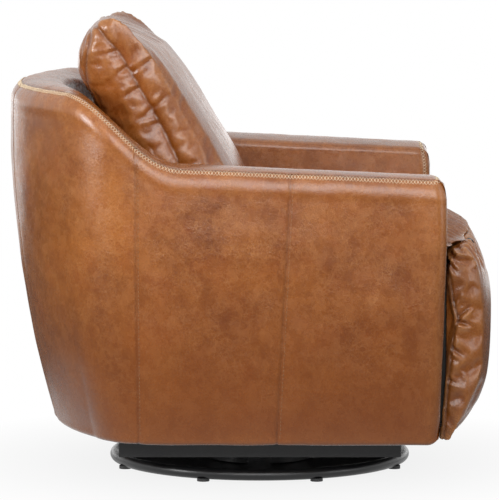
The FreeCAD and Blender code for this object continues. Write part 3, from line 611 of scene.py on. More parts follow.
def closed_tube(name, rings, poles):
    """A closed mesh from rings with equal numbers of points; a fan round a pole shuts each end."""
    total, size = len(rings), len(rings[0])
    faces = []
    for ring in range(total - 1):
        for i in range(size):
            j = (i + 1) % size
            a, b = ring * size, (ring + 1) * size
            faces.append((a + i, a + j, b + j, b + i))
    pole, last = total * size, (total - 1) * size
    for i in range(size):
        j = (i + 1) % size
        faces.append((pole, j, i))
        faces.append((pole + 1, last + i, last + j))
    made = mesh_object(name, np.concatenate([*rings, poles]), faces)
    outward_faces(made)
    return made


def positions_of(made, kind="co"):
    values = np.empty(len(made.data.vertices) * 3)
    made.data.vertices.foreach_get(kind, values)
    return values.reshape(-1, 3)


def normals_of(made):
    return positions_of(made, "normal")


def put_positions(made, values):
    made.data.vertices.foreach_set("co", np.ascontiguousarray(values).ravel())
    made.data.update()


def shade_smooth(made):
    made.data.polygons.foreach_set("use_smooth", [True] * len(made.data.polygons))


def put_attribute(made, name, values):
    layer = made.data.attributes.new(name, "FLOAT", "POINT")
    layer.data.foreach_set("value", np.ascontiguousarray(np.clip(values, 0, 1), dtype=np.float32))


def neighbour_mean(values, edges, degree):
    total = np.zeros_like(values)
    np.add.at(total, edges[:, 0], values[edges[:, 1]])
    np.add.at(total, edges[:, 1], values[edges[:, 0]])
    return total / (degree if values.ndim == 1 else degree[:, None])


def rolled_edges(made, spread, gain):
    """How strongly each vertex lies on an outward bend, from 0 to 1, smoothed over its neighbours."""
    edges = np.empty(len(made.data.edges) * 2, dtype=np.int64)
    made.data.edges.foreach_get("vertices", edges)
    edges = edges.reshape(-1, 2)
    degree = np.maximum(np.bincount(edges.ravel(), minlength=len(made.data.vertices)), 1)
    place = positions_of(made)
    for _ in range(2):
        place = neighbour_mean(place, edges, degree)
    bend = place - neighbour_mean(place, edges, degree)
    lengths = np.linalg.norm(place[edges[:, 0]] - place[edges[:, 1]], axis=1)
    bend = np.einsum("ij,ij->i", bend, normals_of(made)) / np.mean(lengths) ** 2
    for _ in range(spread):
        bend = neighbour_mean(bend, edges, degree)
    return np.clip(bend * gain, 0, 1)


def finish_cover(made, material, body, node_names, lift, groove_shade, spread=8, gain=0.035):
    """Sinks the seams, marks wear, paints shade into the grooves, and hands the cover to its body."""
    put_positions(made, positions_of(made) + normals_of(made) * lift[:, None])
    shade_smooth(made)
    put_attribute(made, "groove_shade", groove_shade)
    put_attribute(made, "worn", rolled_edges(made, spread, gain))
    made.data.materials.clear()
    made.data.materials.append(material)
    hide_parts(*node_names)
    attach(made, body)
    print(made.name, "faces:", len(made.data.polygons))


wall = closed_tube("padded_wall", wall_rings, [right_middle, left_middle])
lift = np.append(wall_lift, [0, 0])
groove_shade = np.append(wall_groove_shade, [0, 0])
covered_nodes = ["right_arm", "left_arm", "outer_back"]
finish_cover(wall, wall_leather, "chassis", covered_nodes, lift, groove_shade, spread=10, gain=0.045)

# %% [markdown]
# ## Cushions
# Each cushion is foam in a sewn cover. Subdividing a box would look moulded, so the covers are simulated:
# a slightly small closed form is remeshed evenly, held along its sewn lines, and blown up by a little
# pressure. The cover is cut a touch too large, so it gathers into puckers along the held lines, as hide does.


# %% Closed form from a side profile
def round_profile(points, passes):
    """Cuts the corners of a closed outline, so that it reads as padding."""
    outline = np.array(points, dtype=float)
    for _ in range(passes):
        following = np.roll(outline, -1, axis=0)
        pairs = [outline * 0.75 + following * 0.25, outline * 0.25 + following * 0.75]
        outline = np.stack(pairs, axis=1).reshape(-1, 2)
    return outline


def shrink_profile(outline, amount):
    """Moves an outline inwards along its own normals."""
    ahead = np.roll(outline, -1, axis=0) - np.roll(outline, 1, axis=0)
    inward = np.stack([-ahead[:, 1], ahead[:, 0]], axis=1)
    inward /= np.maximum(np.linalg.norm(inward, axis=1, keepdims=True), 1e-9)
    if np.sum(inward * (outline.mean(axis=0) - outline)) < 0:
        inward = -inward
    return outline + inward * amount


def closed_loft(name, rows):
    """A closed mesh from (x, outline) rows, all with the same number of points."""
    rings = [np.column_stack([np.full(len(outline), x), outline]) for x, outline in rows]
    return closed_tube(name, rings, [rings[0].mean(axis=0), rings[-1].mean(axis=0)])


def apply_modifier(made):
    """Replaces an object's mesh by what its modifiers make of it."""
    reader = bpy.context.evaluated_depsgraph_get()
    reader.update()
    mesh = bpy.data.meshes.new_from_object(made.evaluated_get(reader))
    old = made.data
    made.modifiers.clear()
    made.data = mesh
    bpy.data.meshes.remove(old)
    mesh.name = made.name


def even_mesh(made, voxel):
    remesh = made.modifiers.new("even", "REMESH")
    remesh.mode = "VOXEL"
    remesh.voxel_size = voxel
    apply_modifier(made)
    print(made.name, "vertices after remesh:", len(made.data.vertices))


def subdivide(made):
    smooth_form = made.modifiers.new("smooth", "SUBSURF")
    smooth_form.levels = smooth_form.render_levels = 1
    apply_modifier(made)


# %% Blow up a cover
def blow_up(made, held, pressure, cap, extra_cloth):
    """Cloth under pressure, held where held is 1. No point moves further than cap."""
    before = positions_of(made)
    group = made.vertex_groups.new(name="sewn")
    for index in np.nonzero(held > 0.05)[0]:
        group.add([int(index)], float(held[index]), "REPLACE")
    cloth = made.modifiers.new("cover", "CLOTH")
    settings = cloth.settings
    settings.quality = 4
    settings.mass = 0.4
    settings.tension_stiffness = settings.compression_stiffness = 12
    settings.shear_stiffness = 6
    settings.bending_stiffness = 0.8
    settings.use_pressure = True
    settings.uniform_pressure_force = pressure
    settings.shrink_min = -extra_cloth
    settings.vertex_group_mass = "sewn"
    settings.effector_weights.gravity = 0
    cloth.collision_settings.use_collision = False
    cloth.point_cache.frame_start, cloth.point_cache.frame_end = 1, 20
    for step in range(1, 21):
        scene.frame_set(step)
    apply_modifier(made)
    scene.frame_set(1)
    moved = positions_of(made) - before
    far = np.linalg.norm(moved, axis=1)
    moved *= np.minimum(1.0, cap / np.maximum(far, 1e-9))[:, None]
    put_positions(made, before + moved)
    made.vertex_groups.clear()
    print(made.name, "moved up to", round(far.max() * 1000, 1), "mm, kept to", cap * 1000)


# %% [markdown]
# ### Back cushion
# It leans 24.5 degrees and has a boxed side: a front panel, a border and a rear panel meet in two seams that
# run up the sides and over the top, where they come close together and stand up as small ears.

# %% Back cushion form
LEAN = math.radians(24.5)
BACK_START = np.array([0.190, 0.430])
UP_LEAN = np.array([math.sin(LEAN), math.cos(LEAN)])
OUT_LEAN = np.array([-math.cos(LEAN), math.sin(LEAN)])
BACK_OUTLINE = [
    (0, 0), (130, 1), (260, 2), (345, 2), (370, 3), (392, 8), (412, 20), (432, 38), (446, 58), (452, 80),
    (439, 102), (408, 126), (378, 145), (343, 159), (300, 170), (254, 176), (200, 183), (147, 190),
    (100, 195), (67, 195), (20, 189), (0, 176), (-4, 150), (-4, 40),
]
BACK_DEPTH = 192.0
SIDE_SEAM_OUT = 96.0


def side_roll(x, half, power):
    """1 in the middle of a cushion, 0 at its side, with a rounded corner between."""
    return math.sqrt(max(0.0, 1 - (abs(x) / half) ** power))


CORNER_ACROSS = [-0.296, -0.20, 0.0, 0.20, 0.296]
CORNER_RISE = [14, 6, 0, 0, -3]
CORNER_BACK = [11, 3, 0, 8, 22]


def back_row(x, pull, rear_cut):
    """One outline of the back: its front rolls towards the seam at the sides, its rear clears the wall."""
    outline = round_profile(BACK_OUTLINE, 2)
    outline = shrink_profile(outline, pull)
    near_top = smooth((outline[:, 0] - 330) / 110)
    outline[:, 0] += near_top * np.interp(x, CORNER_ACROSS, CORNER_RISE)
    outline[:, 1] -= near_top * np.interp(x, CORNER_ACROSS, CORNER_BACK)
    roll = 0.42 + 0.58 * side_roll(x, 0.302, 4)
    beyond = outline[:, 1] - SIDE_SEAM_OUT
    outline[:, 1] = np.where(beyond > 0, SIDE_SEAM_OUT + beyond * roll, outline[:, 1])
    deep = rear_cut + outline[:, 1] * (BACK_DEPTH - rear_cut) / BACK_DEPTH
    place = BACK_START + np.outer(outline[:, 0], UP_LEAN) / 1000 + np.outer(deep, OUT_LEAN) / 1000
    return x, place


BACK_ROWS = [(0.296, 12, 76), (0.292, 7, 58), (0.282, 4, 38), (0.264, 2, 22), (0.240, 1, 9), (0.205, 0, 2),
             (0.160, 0, 0), (0.100, -1, 0), (0.040, -1, 0)]
rows = [back_row(-x, pull, cut) for x, pull, cut in BACK_ROWS]
rows += [back_row(x, pull, cut) for x, pull, cut in reversed(BACK_ROWS)]
back_cushion = closed_loft("back_cushion_cover", rows)
even_mesh(back_cushion, 0.006)


def back_places(made):
    """(up the lean, out of the lean, across) of every vertex, in millimetres."""
    place = positions_of(made)
    flat = (place[:, 1:] - BACK_START) * 1000
    return flat @ UP_LEAN, flat @ OUT_LEAN, place[:, 0] * 1000


FRONT_SEAM = ([0, 165, 217, 275, 342, 392, 430, 465], [108, 110, 109, 105, 99, 94, 80, 70])
REAR_SEAM = ([0, 330, 360, 402, 424, 450, 465], [6, 6, 9, 26, 43, 60, 69])


def back_seam_gaps(made):
    up, out, across = back_places(made)
    return (out - np.interp(up, *FRONT_SEAM)) / 1000, (out - np.interp(up, *REAR_SEAM)) / 1000


front_gap, rear_gap_back = back_seam_gaps(back_cushion)
held = np.maximum(near_line(front_gap, 0.004), near_line(rear_gap_back, 0.004))
up, out, across = back_places(back_cushion)
in_shell = (out < 12) & (up < 350)
held = np.where((held > 0.4) | in_shell, 1.0, 0.0)
blow_up(back_cushion, held, pressure=3.0, cap=0.010, extra_cloth=0.015)
subdivide(back_cushion)

# %% Back cushion seams
front_gap, rear_gap_back = back_seam_gaps(back_cushion)
up, out, across = back_places(back_cushion)
place = positions_of(back_cushion)
FRONT_FOLDS = [(346, 3.4, 0.15), (268, 3.6, 0.2), (180, 1.0, 0.1)]
BORDER_FOLDS = [(394, 3.0, 0.2), (360, 3.4, -0.25), (314, 2.6, -0.1), (268, 3.0, -0.3), (238, 2.6, 0.1)]
on_side = smooth((np.abs(across) - 232) / 36)


def cushion_folds(folds, reach):
    """Grooves and ridges that run away from the seam; reach is the distance from it in metres."""
    grooves = np.zeros(len(up))
    for height, depth, slant in folds:
        gap = up - height - slant * reach * 1000
        fade = on_side * smooth(reach / 0.004) * np.exp(-np.clip(reach, 0, 1) / 0.024)
        grooves += depth / 1000 * fade * (near_line(gap, 4.0) - 0.8 * near_line(gap - 9, 4.5))
    return grooves


folds = cushion_folds(FRONT_FOLDS, front_gap) + cushion_folds(BORDER_FOLDS, -front_gap)
seam_run = np.stack([up / 16, across / 16, out * 0 + 3], axis=1)
gathers = soft_noise(seam_run, 1.0, 5)
near_seam = np.maximum(near_line(front_gap, 0.026), near_line(rear_gap_back, 0.022))
seam_core = np.maximum(near_line(front_gap, 0.0030), 0.6 * near_line(rear_gap_back, 0.0030))
seam_dip = np.maximum(near_line(front_gap, 0.012), 0.6 * near_line(rear_gap_back, 0.012))
drape = soft_noise(place * np.array([7.0, 11.0, 11.0]), 1.0, 6)
lift = 0.0016 * gathers * near_seam + 0.0026 * drape - 0.0022 * seam_core - 0.0028 * seam_dip - folds
# Painted shade in the seams and in the grooves of the folds.
groove_shade = np.clip(0.5 * seam_core + 60 * np.clip(folds, 0, 1), 0, 0.7)
finish_cover(back_cushion, cushion_leather, "back", ["back_cushion"], lift, groove_shade)

# %% [markdown]
# ### Seat cushion
# The seat is a boxed block with a soft crown. Its nose rolls over the hinge of the footrest, and the hide is
# pleated there, so that it can stretch when the footrest goes up. The pleats are ridges across the nose.

# %% Seat cushion form
SEAT_OUTLINE = [
    (-330, 505), (-215, 508), (-100, 500), (20, 485), (100, 452), (138, 428), (140, 360), (128, 346),
    (-300, 346), (-312, 356), (-318, 420), (-335, 446), (-375, 461), (-392, 466), (-403, 468), (-411, 464),
    (-414, 464.5), (-411, 467.5), (-403, 473), (-390, 481), (-368, 493), (-350, 500),
]
NOSE_START = -0.335
NOSE_DROP = 0.034
SEAT_SEAM = 0.268
BAND_SEAM = -0.345


def under_nose(y):
    return 0.446 + 0.25 * (NOSE_START - y)


def seat_row(x, pull):
    """One outline of the seat: towards its sides the nose draws back and rolls down."""
    outline = shrink_profile(round_profile(SEAT_OUTLINE, 1), pull) / 1000
    y, z = outline.T.copy()
    thick = z - under_nose(y)
    in_nose = (z > 0.440) & (y < -0.27)
    drop = NOSE_DROP * (abs(x) / 0.29) ** 2.5 * smooth((-0.27 - y) / 0.07)
    reach = 0.35 + 0.65 * side_roll(x, 0.298, 4)
    y = np.where(y < NOSE_START, NOSE_START + (y - NOSE_START) * reach, y)
    rolled = under_nose(y) + np.maximum(thick - drop, 0.25 * thick)
    outline[:, 0] = y
    outline[:, 1] = np.where(in_nose & (thick > 0), rolled, z)
    return x, outline


SEAT_ROWS = [(0.297, 12), (0.294, 7), (0.287, 4), (0.272, 2), (0.250, 1), (0.220, 0), (0.180, 0), (0.140, 0),
             (0.100, 0), (0.050, 0)]
rows = [seat_row(-x, pull) for x, pull in SEAT_ROWS]
rows += [seat_row(x, pull) for x, pull in reversed(SEAT_ROWS)]
seat_cushion = closed_loft("seat_cushion_cover", rows)
even_mesh(seat_cushion, 0.006)


def seat_masks(made):
    """How far each vertex is from a side seam, where the nose is pleated, and where the seat is held."""
    x, y, z = positions_of(made).T
    top_seam = np.where(z > 0.40, np.abs(x) - SEAT_SEAM, 1.0)
    nose = smooth((NOSE_START - y) / 0.022) * smooth((z - 0.440) / 0.02)
    under = 1 - smooth((z - 0.352) / 0.02)
    return top_seam, nose, under


top_seam, nose, under = seat_masks(seat_cushion)
held = np.maximum(np.where(near_line(top_seam, 0.004) > 0.4, 1.0, 0.0), under)
held = np.maximum(held, nose * 0.9)
blow_up(seat_cushion, held, pressure=2.5, cap=0.012, extra_cloth=0.02)
subdivide(seat_cushion)

# %% Seat cushion pleats and seams
top_seam, nose, under = seat_masks(seat_cushion)
place = positions_of(seat_cushion)
PLEAT = 0.017
wander = soft_noise(place * np.array([6.0, 40.0, 40.0]), 1.0, 7) * 0.8
pleats = np.sin(place[:, 0] / PLEAT * 2 * math.pi + wander)
pleat_band = nose * smooth((place[:, 2] - 0.462) / 0.012)
from_band = np.where(place[:, 2] > 0.45, place[:, 1] - BAND_SEAM, 1.0)
seam_core = np.maximum(near_line(top_seam, 0.004), near_line(from_band, 0.0045))
dips = np.maximum(near_line(top_seam, 0.015), near_line(from_band, 0.012))
drape = soft_noise(place * 11.0, 1.0, 8)
lift = 0.0022 * pleats * pleat_band + 0.0015 * drape * (1 - under) - 0.0022 * seam_core - 0.0026 * dips
# Painted shade in the seams and in the valleys of the pleats.
groove_shade = np.clip(0.8 * seam_core + 0.35 * pleat_band * np.clip(-pleats, 0, 1), 0, 1)
finish_cover(seat_cushion, cushion_leather, "seat", ["seat_cushion"], lift, groove_shade)

# %% [markdown]
# ### Footrest pad
# The pad hangs from the hinge under the nose. Its cover is gathered into the cross seam at the top, and the
# gathers fade out downwards. A seam runs down each side, and the hide pinches into folds half-way down it.
# Two pockets in its back leave room for the hinge arms: its outline steps forward there.

# %% Footrest pad form
PAD_OUTLINE = [
    (-403, 464), (-411, 461), (-416, 454), (-424, 437), (-434, 405), (-440, 373), (-443, 338), (-443, 294),
    (-441, 240), (-437, 200), (-431, 178), (-421, 154), (-407, 128), (-388, 103), (-368, 86), (-355, 82),
    (-342, 84), (-342, 108), (-355, 110), (-355, 270), (-355, 438), (-385, 459),
]
WRAP_HEIGHT = [0.085, 0.160, 0.230, 0.270, 0.300, 0.316, 0.350, 0.385, 0.420, 0.450]
WRAP_REAR = [-0.345, -0.351, -0.357, -0.361, -0.366, -0.373, -0.363, -0.358, -0.352, -0.350]
PAD_HALF = 0.297
PAD_REAR = -0.355
BOARD_HALF = 0.286
POCKET = (0.178, 0.208)
POCKET_FRONT, POCKET_LOW = -0.4065, 0.318
HELD_MIDDLE, HELD_REACH, HELD_LOW, HELD_FRONT = 0.193, 0.019, 0.312, -0.410
PAD_SIDE = 0.262
GATHER = 0.019


def wrap_rear(height):
    """How far back the cover reaches around the side of the board."""
    return np.interp(height, WRAP_HEIGHT, WRAP_REAR)


def pad_row(x):
    """One outline of the pad: rolled back at the sides, wrapped round the board, open for the hinge arms."""
    outline = round_profile(PAD_OUTLINE, 1) / 1000
    y, z = outline.T.copy()
    reach = 0.46 + 0.54 * side_roll(x, PAD_HALF, 3.2)
    y = np.where(y < PAD_REAR, PAD_REAR + (y - PAD_REAR) * reach, y)
    z = z - 0.022 * (1 - side_roll(x, PAD_HALF, 6)) * smooth((z - 0.33) / 0.10)
    if abs(x) > BOARD_HALF:
        y = np.where(y > PAD_REAR - 0.003, wrap_rear(z), np.minimum(y, wrap_rear(z) - 0.002))
    if POCKET[0] < abs(x) < POCKET[1]:
        y = np.where((y > POCKET_FRONT) & (z > POCKET_LOW), POCKET_FRONT, y)
    return x, np.stack([y, z], axis=1)


PAD_PLACES = [0.2965, 0.295, 0.291, 0.2865, 0.2855, 0.278, 0.265, 0.245, 0.225, 0.2085, 0.2075, 0.193, 0.1785,
              0.1775, 0.13, 0.07, 0.02]
rows = [pad_row(-x) for x in PAD_PLACES] + [pad_row(x) for x in reversed(PAD_PLACES)]
footrest_pad = closed_loft("footrest_pad_cover", rows)
even_mesh(footrest_pad, 0.005)


def pad_masks(made):
    """Distance in front of the side seam, what stays held at the back, and the height."""
    x, y, z = positions_of(made).T
    on_side = np.abs(x) > PAD_SIDE
    from_seam = np.where(on_side, wrap_rear(z) - y, 1.0)
    behind = np.where(on_side, 0.006 - from_seam, y - PAD_REAR + 0.006)
    rear = smooth(behind / 0.004)
    in_pocket = (np.abs(np.abs(x) - HELD_MIDDLE) < HELD_REACH) & (z > HELD_LOW) & (y > HELD_FRONT)
    return from_seam, np.maximum(rear, in_pocket), z


from_seam, rear, height = pad_masks(footrest_pad)
held = np.maximum(rear, smooth((height - 0.440) / 0.012))
blow_up(footrest_pad, held, pressure=2.5, cap=0.007, extra_cloth=0.03)
subdivide(footrest_pad)

# %% Footrest pad folds
from_seam, rear, height = pad_masks(footrest_pad)
place = positions_of(footrest_pad)
across = np.abs(place[:, 0])
front = 1 - rear
wander = soft_noise(place * np.array([5.0, 30.0, 12.0]), 1.0, 9) * 1.2
gathers = np.sin(place[:, 0] / GATHER * 2 * math.pi + wander) * smooth((height - 0.375) / 0.075)
side_reach = smooth((across - 0.225) / 0.05)
FOLDS = [((-0.354, 0.452), (-0.385, 0.415), 0.0050), ((-0.352, 0.432), (-0.380, 0.397), 0.0045),
         ((-0.362, 0.458), (-0.398, 0.440), 0.0040), ((-0.374, 0.319), (-0.412, 0.350), 0.0055),
         ((-0.374, 0.312), (-0.412, 0.301), 0.0055), ((-0.362, 0.264), (-0.396, 0.237), 0.0045),
         ((-0.358, 0.201), (-0.384, 0.188), 0.0030), ((-0.366, 0.345), (-0.388, 0.378), 0.0025)]


def fold_shape(start, end, depth):
    """A groove with a ridge above it along one line on the side of the pad, fading out towards its end."""
    start, end = np.array(start), np.array(end)
    along = end - start
    length = np.linalg.norm(along)
    along /= length
    offset = place[:, 1:] - start
    run = offset @ along
    gap = offset @ np.array([along[1], -along[0]]) * np.sign(along[0])
    fade = smooth((run + 0.012) / 0.012) * smooth((length - run) / (0.7 * length))
    groove = near_line(gap, 0.0040)
    ridge = near_line(gap - 0.0075, 0.0050)
    return depth * side_reach * fade * groove, 0.6 * depth * side_reach * fade * ridge


grooves = np.zeros(len(place))
ridges = np.zeros(len(place))
for fold in FOLDS:
    groove, ridge = fold_shape(*fold)
    grooves += groove
    ridges += ridge
welt = near_line(from_seam, 0.003)
stitched = near_line(from_seam - 0.0045, 0.0030)
drape = soft_noise(place * 10.0, 1.0, 10)
lift = front * (0.0018 * gathers + 0.0012 * drape - grooves + ridges - 0.0025 * stitched) + 0.0015 * welt
# Painted shade in the grooves of the folds and along the stitched line.
groove_shade = np.clip(front * (70 * grooves) + 0.7 * stitched, 0, 0.85)
finish_cover(footrest_pad, pad_leather, "footrest", ["footrest_pad"], lift, groove_shade)

# %% [markdown]
# ## Hard finishes
# The base ring and the steel inside are powder-coated black, which is slightly pebbled and rubbed thin in
# places. Bearings and the push rod are zinc-bright, the hidden panels are plywood, the drive is moulded
# plastic. One wear group serves all the coated, plated and moulded finishes.

# %% Wear group
wear_scales = {"Dust Scale": 14.0, "Pebble Scale": 900.0}
wear_group, wear_in, wear_out = new_group("handling_wear", wear_scales, ("Dust", "Rub", "Pebble"))
wear_place = wear_in["Place"]
dust = noise_value(wear_group, wear_place, wear_in["Dust Scale"], 6.0, 0.65)
rub = noise_value(wear_group, wear_place, 45.0, 4.0)
pebble = noise_value(wear_group, wear_place, wear_in["Pebble Scale"], 2.0)
dust = stretch(wear_group, dust, 0.45, 0.75)
rub = stretch(wear_group, rub, 0.55, 0.75)
set_inputs(wear_group, wear_out, Dust=dust, Rub=rub, Pebble=pebble)
print("wear group nodes:", len(wear_group.nodes))


# %% Hard materials
def hard_finish(name, base, dusty, rough, rough_swing, pebble_scale, pebble_depth, metallic=0.0):
    """A coated, plated or moulded finish with dust, rub marks and a fine pebble."""
    material, tree, principled, place = new_material(name)
    wear = group_node(tree, wear_group, place)
    set_inputs(tree, wear, Pebble_Scale=pebble_scale)
    dustiness = maths(tree, "MULTIPLY", wear.outputs["Dust"], 0.5)
    swing = maths(tree, "MULTIPLY", wear.outputs["Rub"], rough_swing)
    set_inputs(
        tree, principled, Base_Color=mix_colour(tree, dustiness, base, dusty), Metallic=metallic,
        Roughness=maths(tree, "ADD", swing, rough),
        Normal=bump(tree, wear.outputs["Pebble"], 0.4, pebble_depth),
    )
    return material


def plywood_finish():
    """Pale wood with its grain drawn out along the height."""
    material, tree, principled, place = new_material("plywood")
    squeezed = node_in(tree, "ShaderNodeMapping", Vector=place, Scale=(40.0, 40.0, 2.5))
    grain = noise_value(tree, squeezed.outputs[0], 1.6, 6.0, 0.6, 1.5)
    colour = mix_colour(tree, stretch(tree, grain, 0.35, 0.7), (0.30, 0.17, 0.075), (0.55, 0.37, 0.20))
    set_inputs(tree, principled, Base_Color=colour, Roughness=0.7, Normal=bump(tree, grain, 0.3, 0.0006))
    return material


def woven_finish(name, light, dark, scale):
    """A plain weave: two crossed waves, one thread over and one under."""
    material, tree, principled, place = new_material(name)
    bands = []
    for direction in ("X", "Y"):
        wave = node_in(tree, "ShaderNodeTexWave", bands_direction=direction, Vector=place, Scale=scale,
                       Distortion=0.4)
        bands.append(wave.outputs["Fac"])
    weave = maths(tree, "MULTIPLY", bands[0], bands[1])
    set_inputs(tree, principled, Base_Color=mix_colour(tree, weave, dark, light), Roughness=0.85,
               Normal=bump(tree, weave, 0.6, 0.0006))
    return material


# Slot: material name, clean colour, dusty colour, roughness and its swing, pebble scale and depth, metal.
HARD = {
    "black_steel": ("black_coat", (0.008, 0.008, 0.009), (0.020, 0.019, 0.018), 0.32, 0.12, 1400.0, 0.0002),
    "bright_steel": ("zinc_plate", (0.52, 0.52, 0.53), (0.38, 0.37, 0.35), 0.28, 0.15, 700.0, 0.0001, 1.0),
    "black_plastic": ("moulded_black", (0.018, 0.018, 0.019), (0.045, 0.044, 0.042), 0.5, 0.1, 2200.0,
                      0.0003),
    "panel": ("satin_panel", (0.020, 0.019, 0.018), (0.040, 0.038, 0.036), 0.36, 0.08, 2600.0, 0.0002),
    "button": ("button_gloss", (0.085, 0.085, 0.088), (0.12, 0.12, 0.12), 0.2, 0.1, 1800.0, 0.0001),
}
FINISHES = {slot: hard_finish(*values) for slot, values in HARD.items()}
FINISHES["ply"] = plywood_finish()
FINISHES["webbing"] = woven_finish("black_webbing", (0.045, 0.043, 0.040), (0.012, 0.012, 0.012), 180.0)
CLOTH_COVERED = ("footrest_board", "front_rail")
for entry in frame["record"]["subparts"]:
    covered = entry["node"] in CLOTH_COVERED
    finish = FINISHES.get("webbing" if covered else entry["material_slot"])
    if finish is None:
        continue
    node_mesh = nodes[entry["node"]].data
    node_mesh.materials.clear()
    node_mesh.materials.append(finish)
print("hard finishes:", len(FINISHES))

# %% Dust cloth under the body
CLOTH_HALF, CLOTH_FRONT, CLOTH_REAR, CLOTH_HEIGHT = 0.317, -0.311, 0.240, 0.0925
cloth_xs = np.linspace(-CLOTH_HALF, CLOTH_HALF, 49)
cloth_ys = np.linspace(CLOTH_FRONT, CLOTH_REAR, 43)
cloth_points = [(x, y, CLOTH_HEIGHT) for y in cloth_ys for x in cloth_xs]
cloth_sag = soft_noise(cloth_points, 9.0, 14)
cloth_points = [(x, y, z - 0.0006 - 0.0006 * sag) for (x, y, z), sag in zip(cloth_points, cloth_sag)]
wide = len(cloth_xs)
cloth_faces = [(j * wide + i, j * wide + i + 1, (j + 1) * wide + i + 1, (j + 1) * wide + i)
               for j in range(len(cloth_ys) - 1) for i in range(wide - 1)]
dust_cloth = mesh_object("dust_cloth", cloth_points, cloth_faces)
dust_cloth.data.materials.append(FINISHES["webbing"])
shade_smooth(dust_cloth)
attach(dust_cloth, "chassis")
print("dust cloth faces:", len(dust_cloth.data.polygons))

# %% [markdown]
# ## Stitching
# A pale zigzag of thick thread closes the outer edge of the wall all the way round and turns down the inner
# front edge of each arm. Finer running stitches hold the upright seams. Every stitch is the same
# little rope, so a Geometry Nodes tree lays one on each point and turns it the way the point says.


# %% Stitch tree
def stitch_tree():
    """Lays one bead, stretched to a stitch, on each point and turns it along the point's aim."""
    tree = bpy.data.node_groups.new("stitch_row", "GeometryNodeTree")
    add_socket = tree.interface.new_socket
    add_socket("Geometry", in_out="INPUT", socket_type="NodeSocketGeometry")
    for title, value in (("Thread Radius", 0.001), ("Stitch Length", 0.008)):
        add_socket(title, in_out="INPUT", socket_type="NodeSocketFloat").default_value = value
    add_socket("Thread", in_out="INPUT", socket_type="NodeSocketMaterial")
    add_socket("Geometry", in_out="OUTPUT", socket_type="NodeSocketGeometry")
    given = tree.nodes.new("NodeGroupInput").outputs
    radius = given["Thread Radius"]
    bead = node_in(tree, "GeometryNodeMeshUVSphere", Segments=6, Rings=5)
    aim = node_in(tree, "GeometryNodeInputNamedAttribute", data_type="FLOAT_VECTOR", Name="aim")
    turn = node_in(tree, "FunctionNodeAlignRotationToVector", axis="Z", Vector=aim.outputs["Attribute"])
    half = maths(tree, "MULTIPLY", given["Stitch Length"], 0.5)
    size = node_in(tree, "ShaderNodeCombineXYZ", X=radius, Y=radius, Z=half)
    lay = node_in(tree, "GeometryNodeInstanceOnPoints", Points=given["Geometry"],
                  Instance=bead.outputs["Mesh"], Rotation=turn.outputs["Rotation"],
                  Scale=size.outputs["Vector"])
    real = node_in(tree, "GeometryNodeRealizeInstances", Geometry=lay.outputs["Instances"])
    soft = node_in(tree, "GeometryNodeSetShadeSmooth", Geometry=real.outputs["Geometry"])
    paint = node_in(tree, "GeometryNodeSetMaterial", Geometry=soft.outputs["Geometry"],
                    Material=given["Thread"])
    set_inputs(tree, tree.nodes.new("NodeGroupOutput"), Geometry=paint.outputs["Geometry"])
    return tree


row_tree = stitch_tree()
row_inputs = [item for item in row_tree.interface.items_tree if item.in_out == "INPUT"]
input_names = {item.name: item.identifier for item in row_inputs}


def thread_finish(name, pale, dark):
    """Twisted thread: fine bands of light and dark."""
    material, tree, principled, place = new_material(name)
    twist = noise_value(tree, place, 900.0, 2.0)
    set_inputs(tree, principled, Base_Color=mix_colour(tree, twist, dark, pale), Roughness=0.6)
    return material


gold_thread = thread_finish("gold_thread", (0.92, 0.78, 0.58), (0.70, 0.52, 0.33))
tan_thread = thread_finish("tan_thread", (0.40, 0.22, 0.11), (0.20, 0.09, 0.04))
print("stitch inputs:", list(input_names))


# %% Lay stitches along a line
AIM_STEP = 0.004


def along_line(points, spacing):
    """Evenly spaced places on a line of points, with its direction at each."""
    points = np.array(points)
    steps = np.linalg.norm(np.diff(points, axis=0), axis=1)
    run = np.concatenate([[0.0], np.cumsum(steps)])
    marks = np.arange(spacing / 2, run[-1], spacing)

    def at(places):
        return np.stack([np.interp(places, run, points[:, k]) for k in range(3)], axis=1)

    direction = at(marks + AIM_STEP) - at(marks - AIM_STEP)
    return at(marks), direction / np.maximum(np.linalg.norm(direction, axis=1, keepdims=True), 1e-9)


def sewn_row(name, carrier, lines, spacing, length, radius, tilts, thread, body):
    """Stitches on the surface of a carrier; each tilt gives one stitch per place, turned on the surface."""
    places, aims = [], []
    for line in lines:
        for point, ahead in zip(*along_line(line, spacing)):
            _, spot, normal, _ = carrier.closest_point_on_mesh(Vector(point))
            side = normal.cross(Vector(ahead)).normalized()
            ahead = side.cross(normal)
            for tilt in tilts:
                places.append(spot + normal * radius * 0.35)
                aims.append(ahead * math.cos(tilt) + side * math.sin(tilt))
    points = bpy.data.meshes.new(name + "_points")
    points.from_pydata([tuple(p) for p in places], [], [])
    layer = points.attributes.new("aim", "FLOAT_VECTOR", "POINT")
    layer.data.foreach_set("vector", np.array(aims, dtype=np.float32).ravel())
    row = bpy.data.objects.new(name, points)
    scene.collection.objects.link(row)
    sewing = row.modifiers.new("stitches", "NODES")
    sewing.node_group = row_tree
    sewing[input_names["Thread Radius"]] = radius
    sewing[input_names["Stitch Length"]] = length
    sewing[input_names["Thread"]] = thread
    apply_modifier(row)
    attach(row, body)
    print(name, "stitches:", len(places))


wall_place = positions_of(wall)


def wall_point(ring, index):
    return wall_place[ring * ring_size + index]


EDGE_STITCH_DROP = 0.0072
INNER_STITCHED = 22


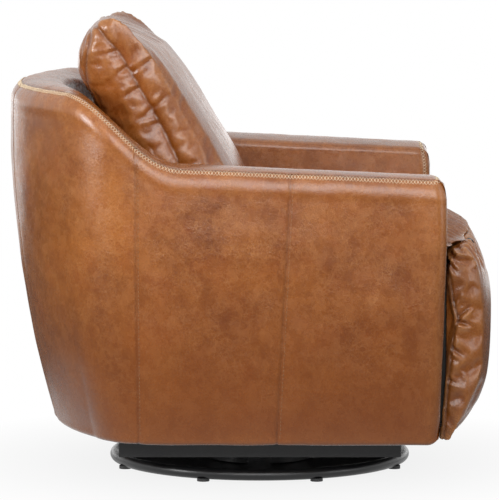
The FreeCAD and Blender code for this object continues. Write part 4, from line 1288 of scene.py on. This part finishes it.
def below_edge(ring):
    """The point on the outer face that lies one stitch drop below the edge seam."""
    index = int(np.argmin(np.abs(from_top_seam[ring] + EDGE_STITCH_DROP)))
    step = 1 if from_top_seam[ring, index] < -EDGE_STITCH_DROP else -1
    low, high = from_top_seam[ring, index], from_top_seam[ring, index + step]
    share = (-EDGE_STITCH_DROP - low) / (high - low)
    return wall_point(ring, index) * (1 - share) + wall_point(ring, index + step) * share


run_first, run_last = front_count, len(wall_rings) - front_count - 1
inner_end = first_of["inside"] + INNER_STITCHED
edge_line = [wall_point(run_first - 2, i) for i in range(inner_end, SEAM_INDEX, -1)]
edge_line += [below_edge(ring) for ring in range(run_first - 1, run_last + 2)]
edge_line += [wall_point(run_last + 2, i) for i in range(SEAM_INDEX + 1, inner_end + 1)]
sewn_row("edge_stitching", wall, [edge_line], spacing=0.0062, length=0.0122, radius=0.0005,
         tilts=(1.03, -1.03), thread=gold_thread, body="chassis")

# %% Running stitches on the wall
SEAM_SIDE = 0.005


def upright_lines():
    """Lines beside each upright seam."""
    lines = []
    heights = np.linspace(WALL_BOTTOM + 0.012, ARM_SEAM - 0.004, 40)
    for side in (-1, 1):
        share = (heights - WALL_BOTTOM) / (ARM_SEAM - WALL_BOTTOM)
        ys = SIDE_SEAM_LOW + (SIDE_SEAM_TOP - SIDE_SEAM_LOW) * share - SEAM_SIDE
        taper = SIDE_TAPER * (1 - share) ** 2
        lines.append([(side * (HALF_WIDTH - t), y, z) for t, y, z in zip(taper, ys, heights)])
    last_index = SEAM_INDEX - 2
    for target in (panel_along - SEAM_SIDE, rear_along - SEAM_SIDE):
        for mirrored in (False, True):
            wanted = path_total - target if mirrored else target
            ring = int(np.argmin(np.abs(path_along[run_first:run_last + 1] - wanted))) + run_first
            lines.append([wall_point(ring, i) for i in range(first_of["side"] + 1, last_index)])
    return lines


sewn_row("seam_stitching", wall, upright_lines(), spacing=0.0075, length=0.0052, radius=0.0006,
         tilts=(0.0,), thread=tan_thread, body="chassis")
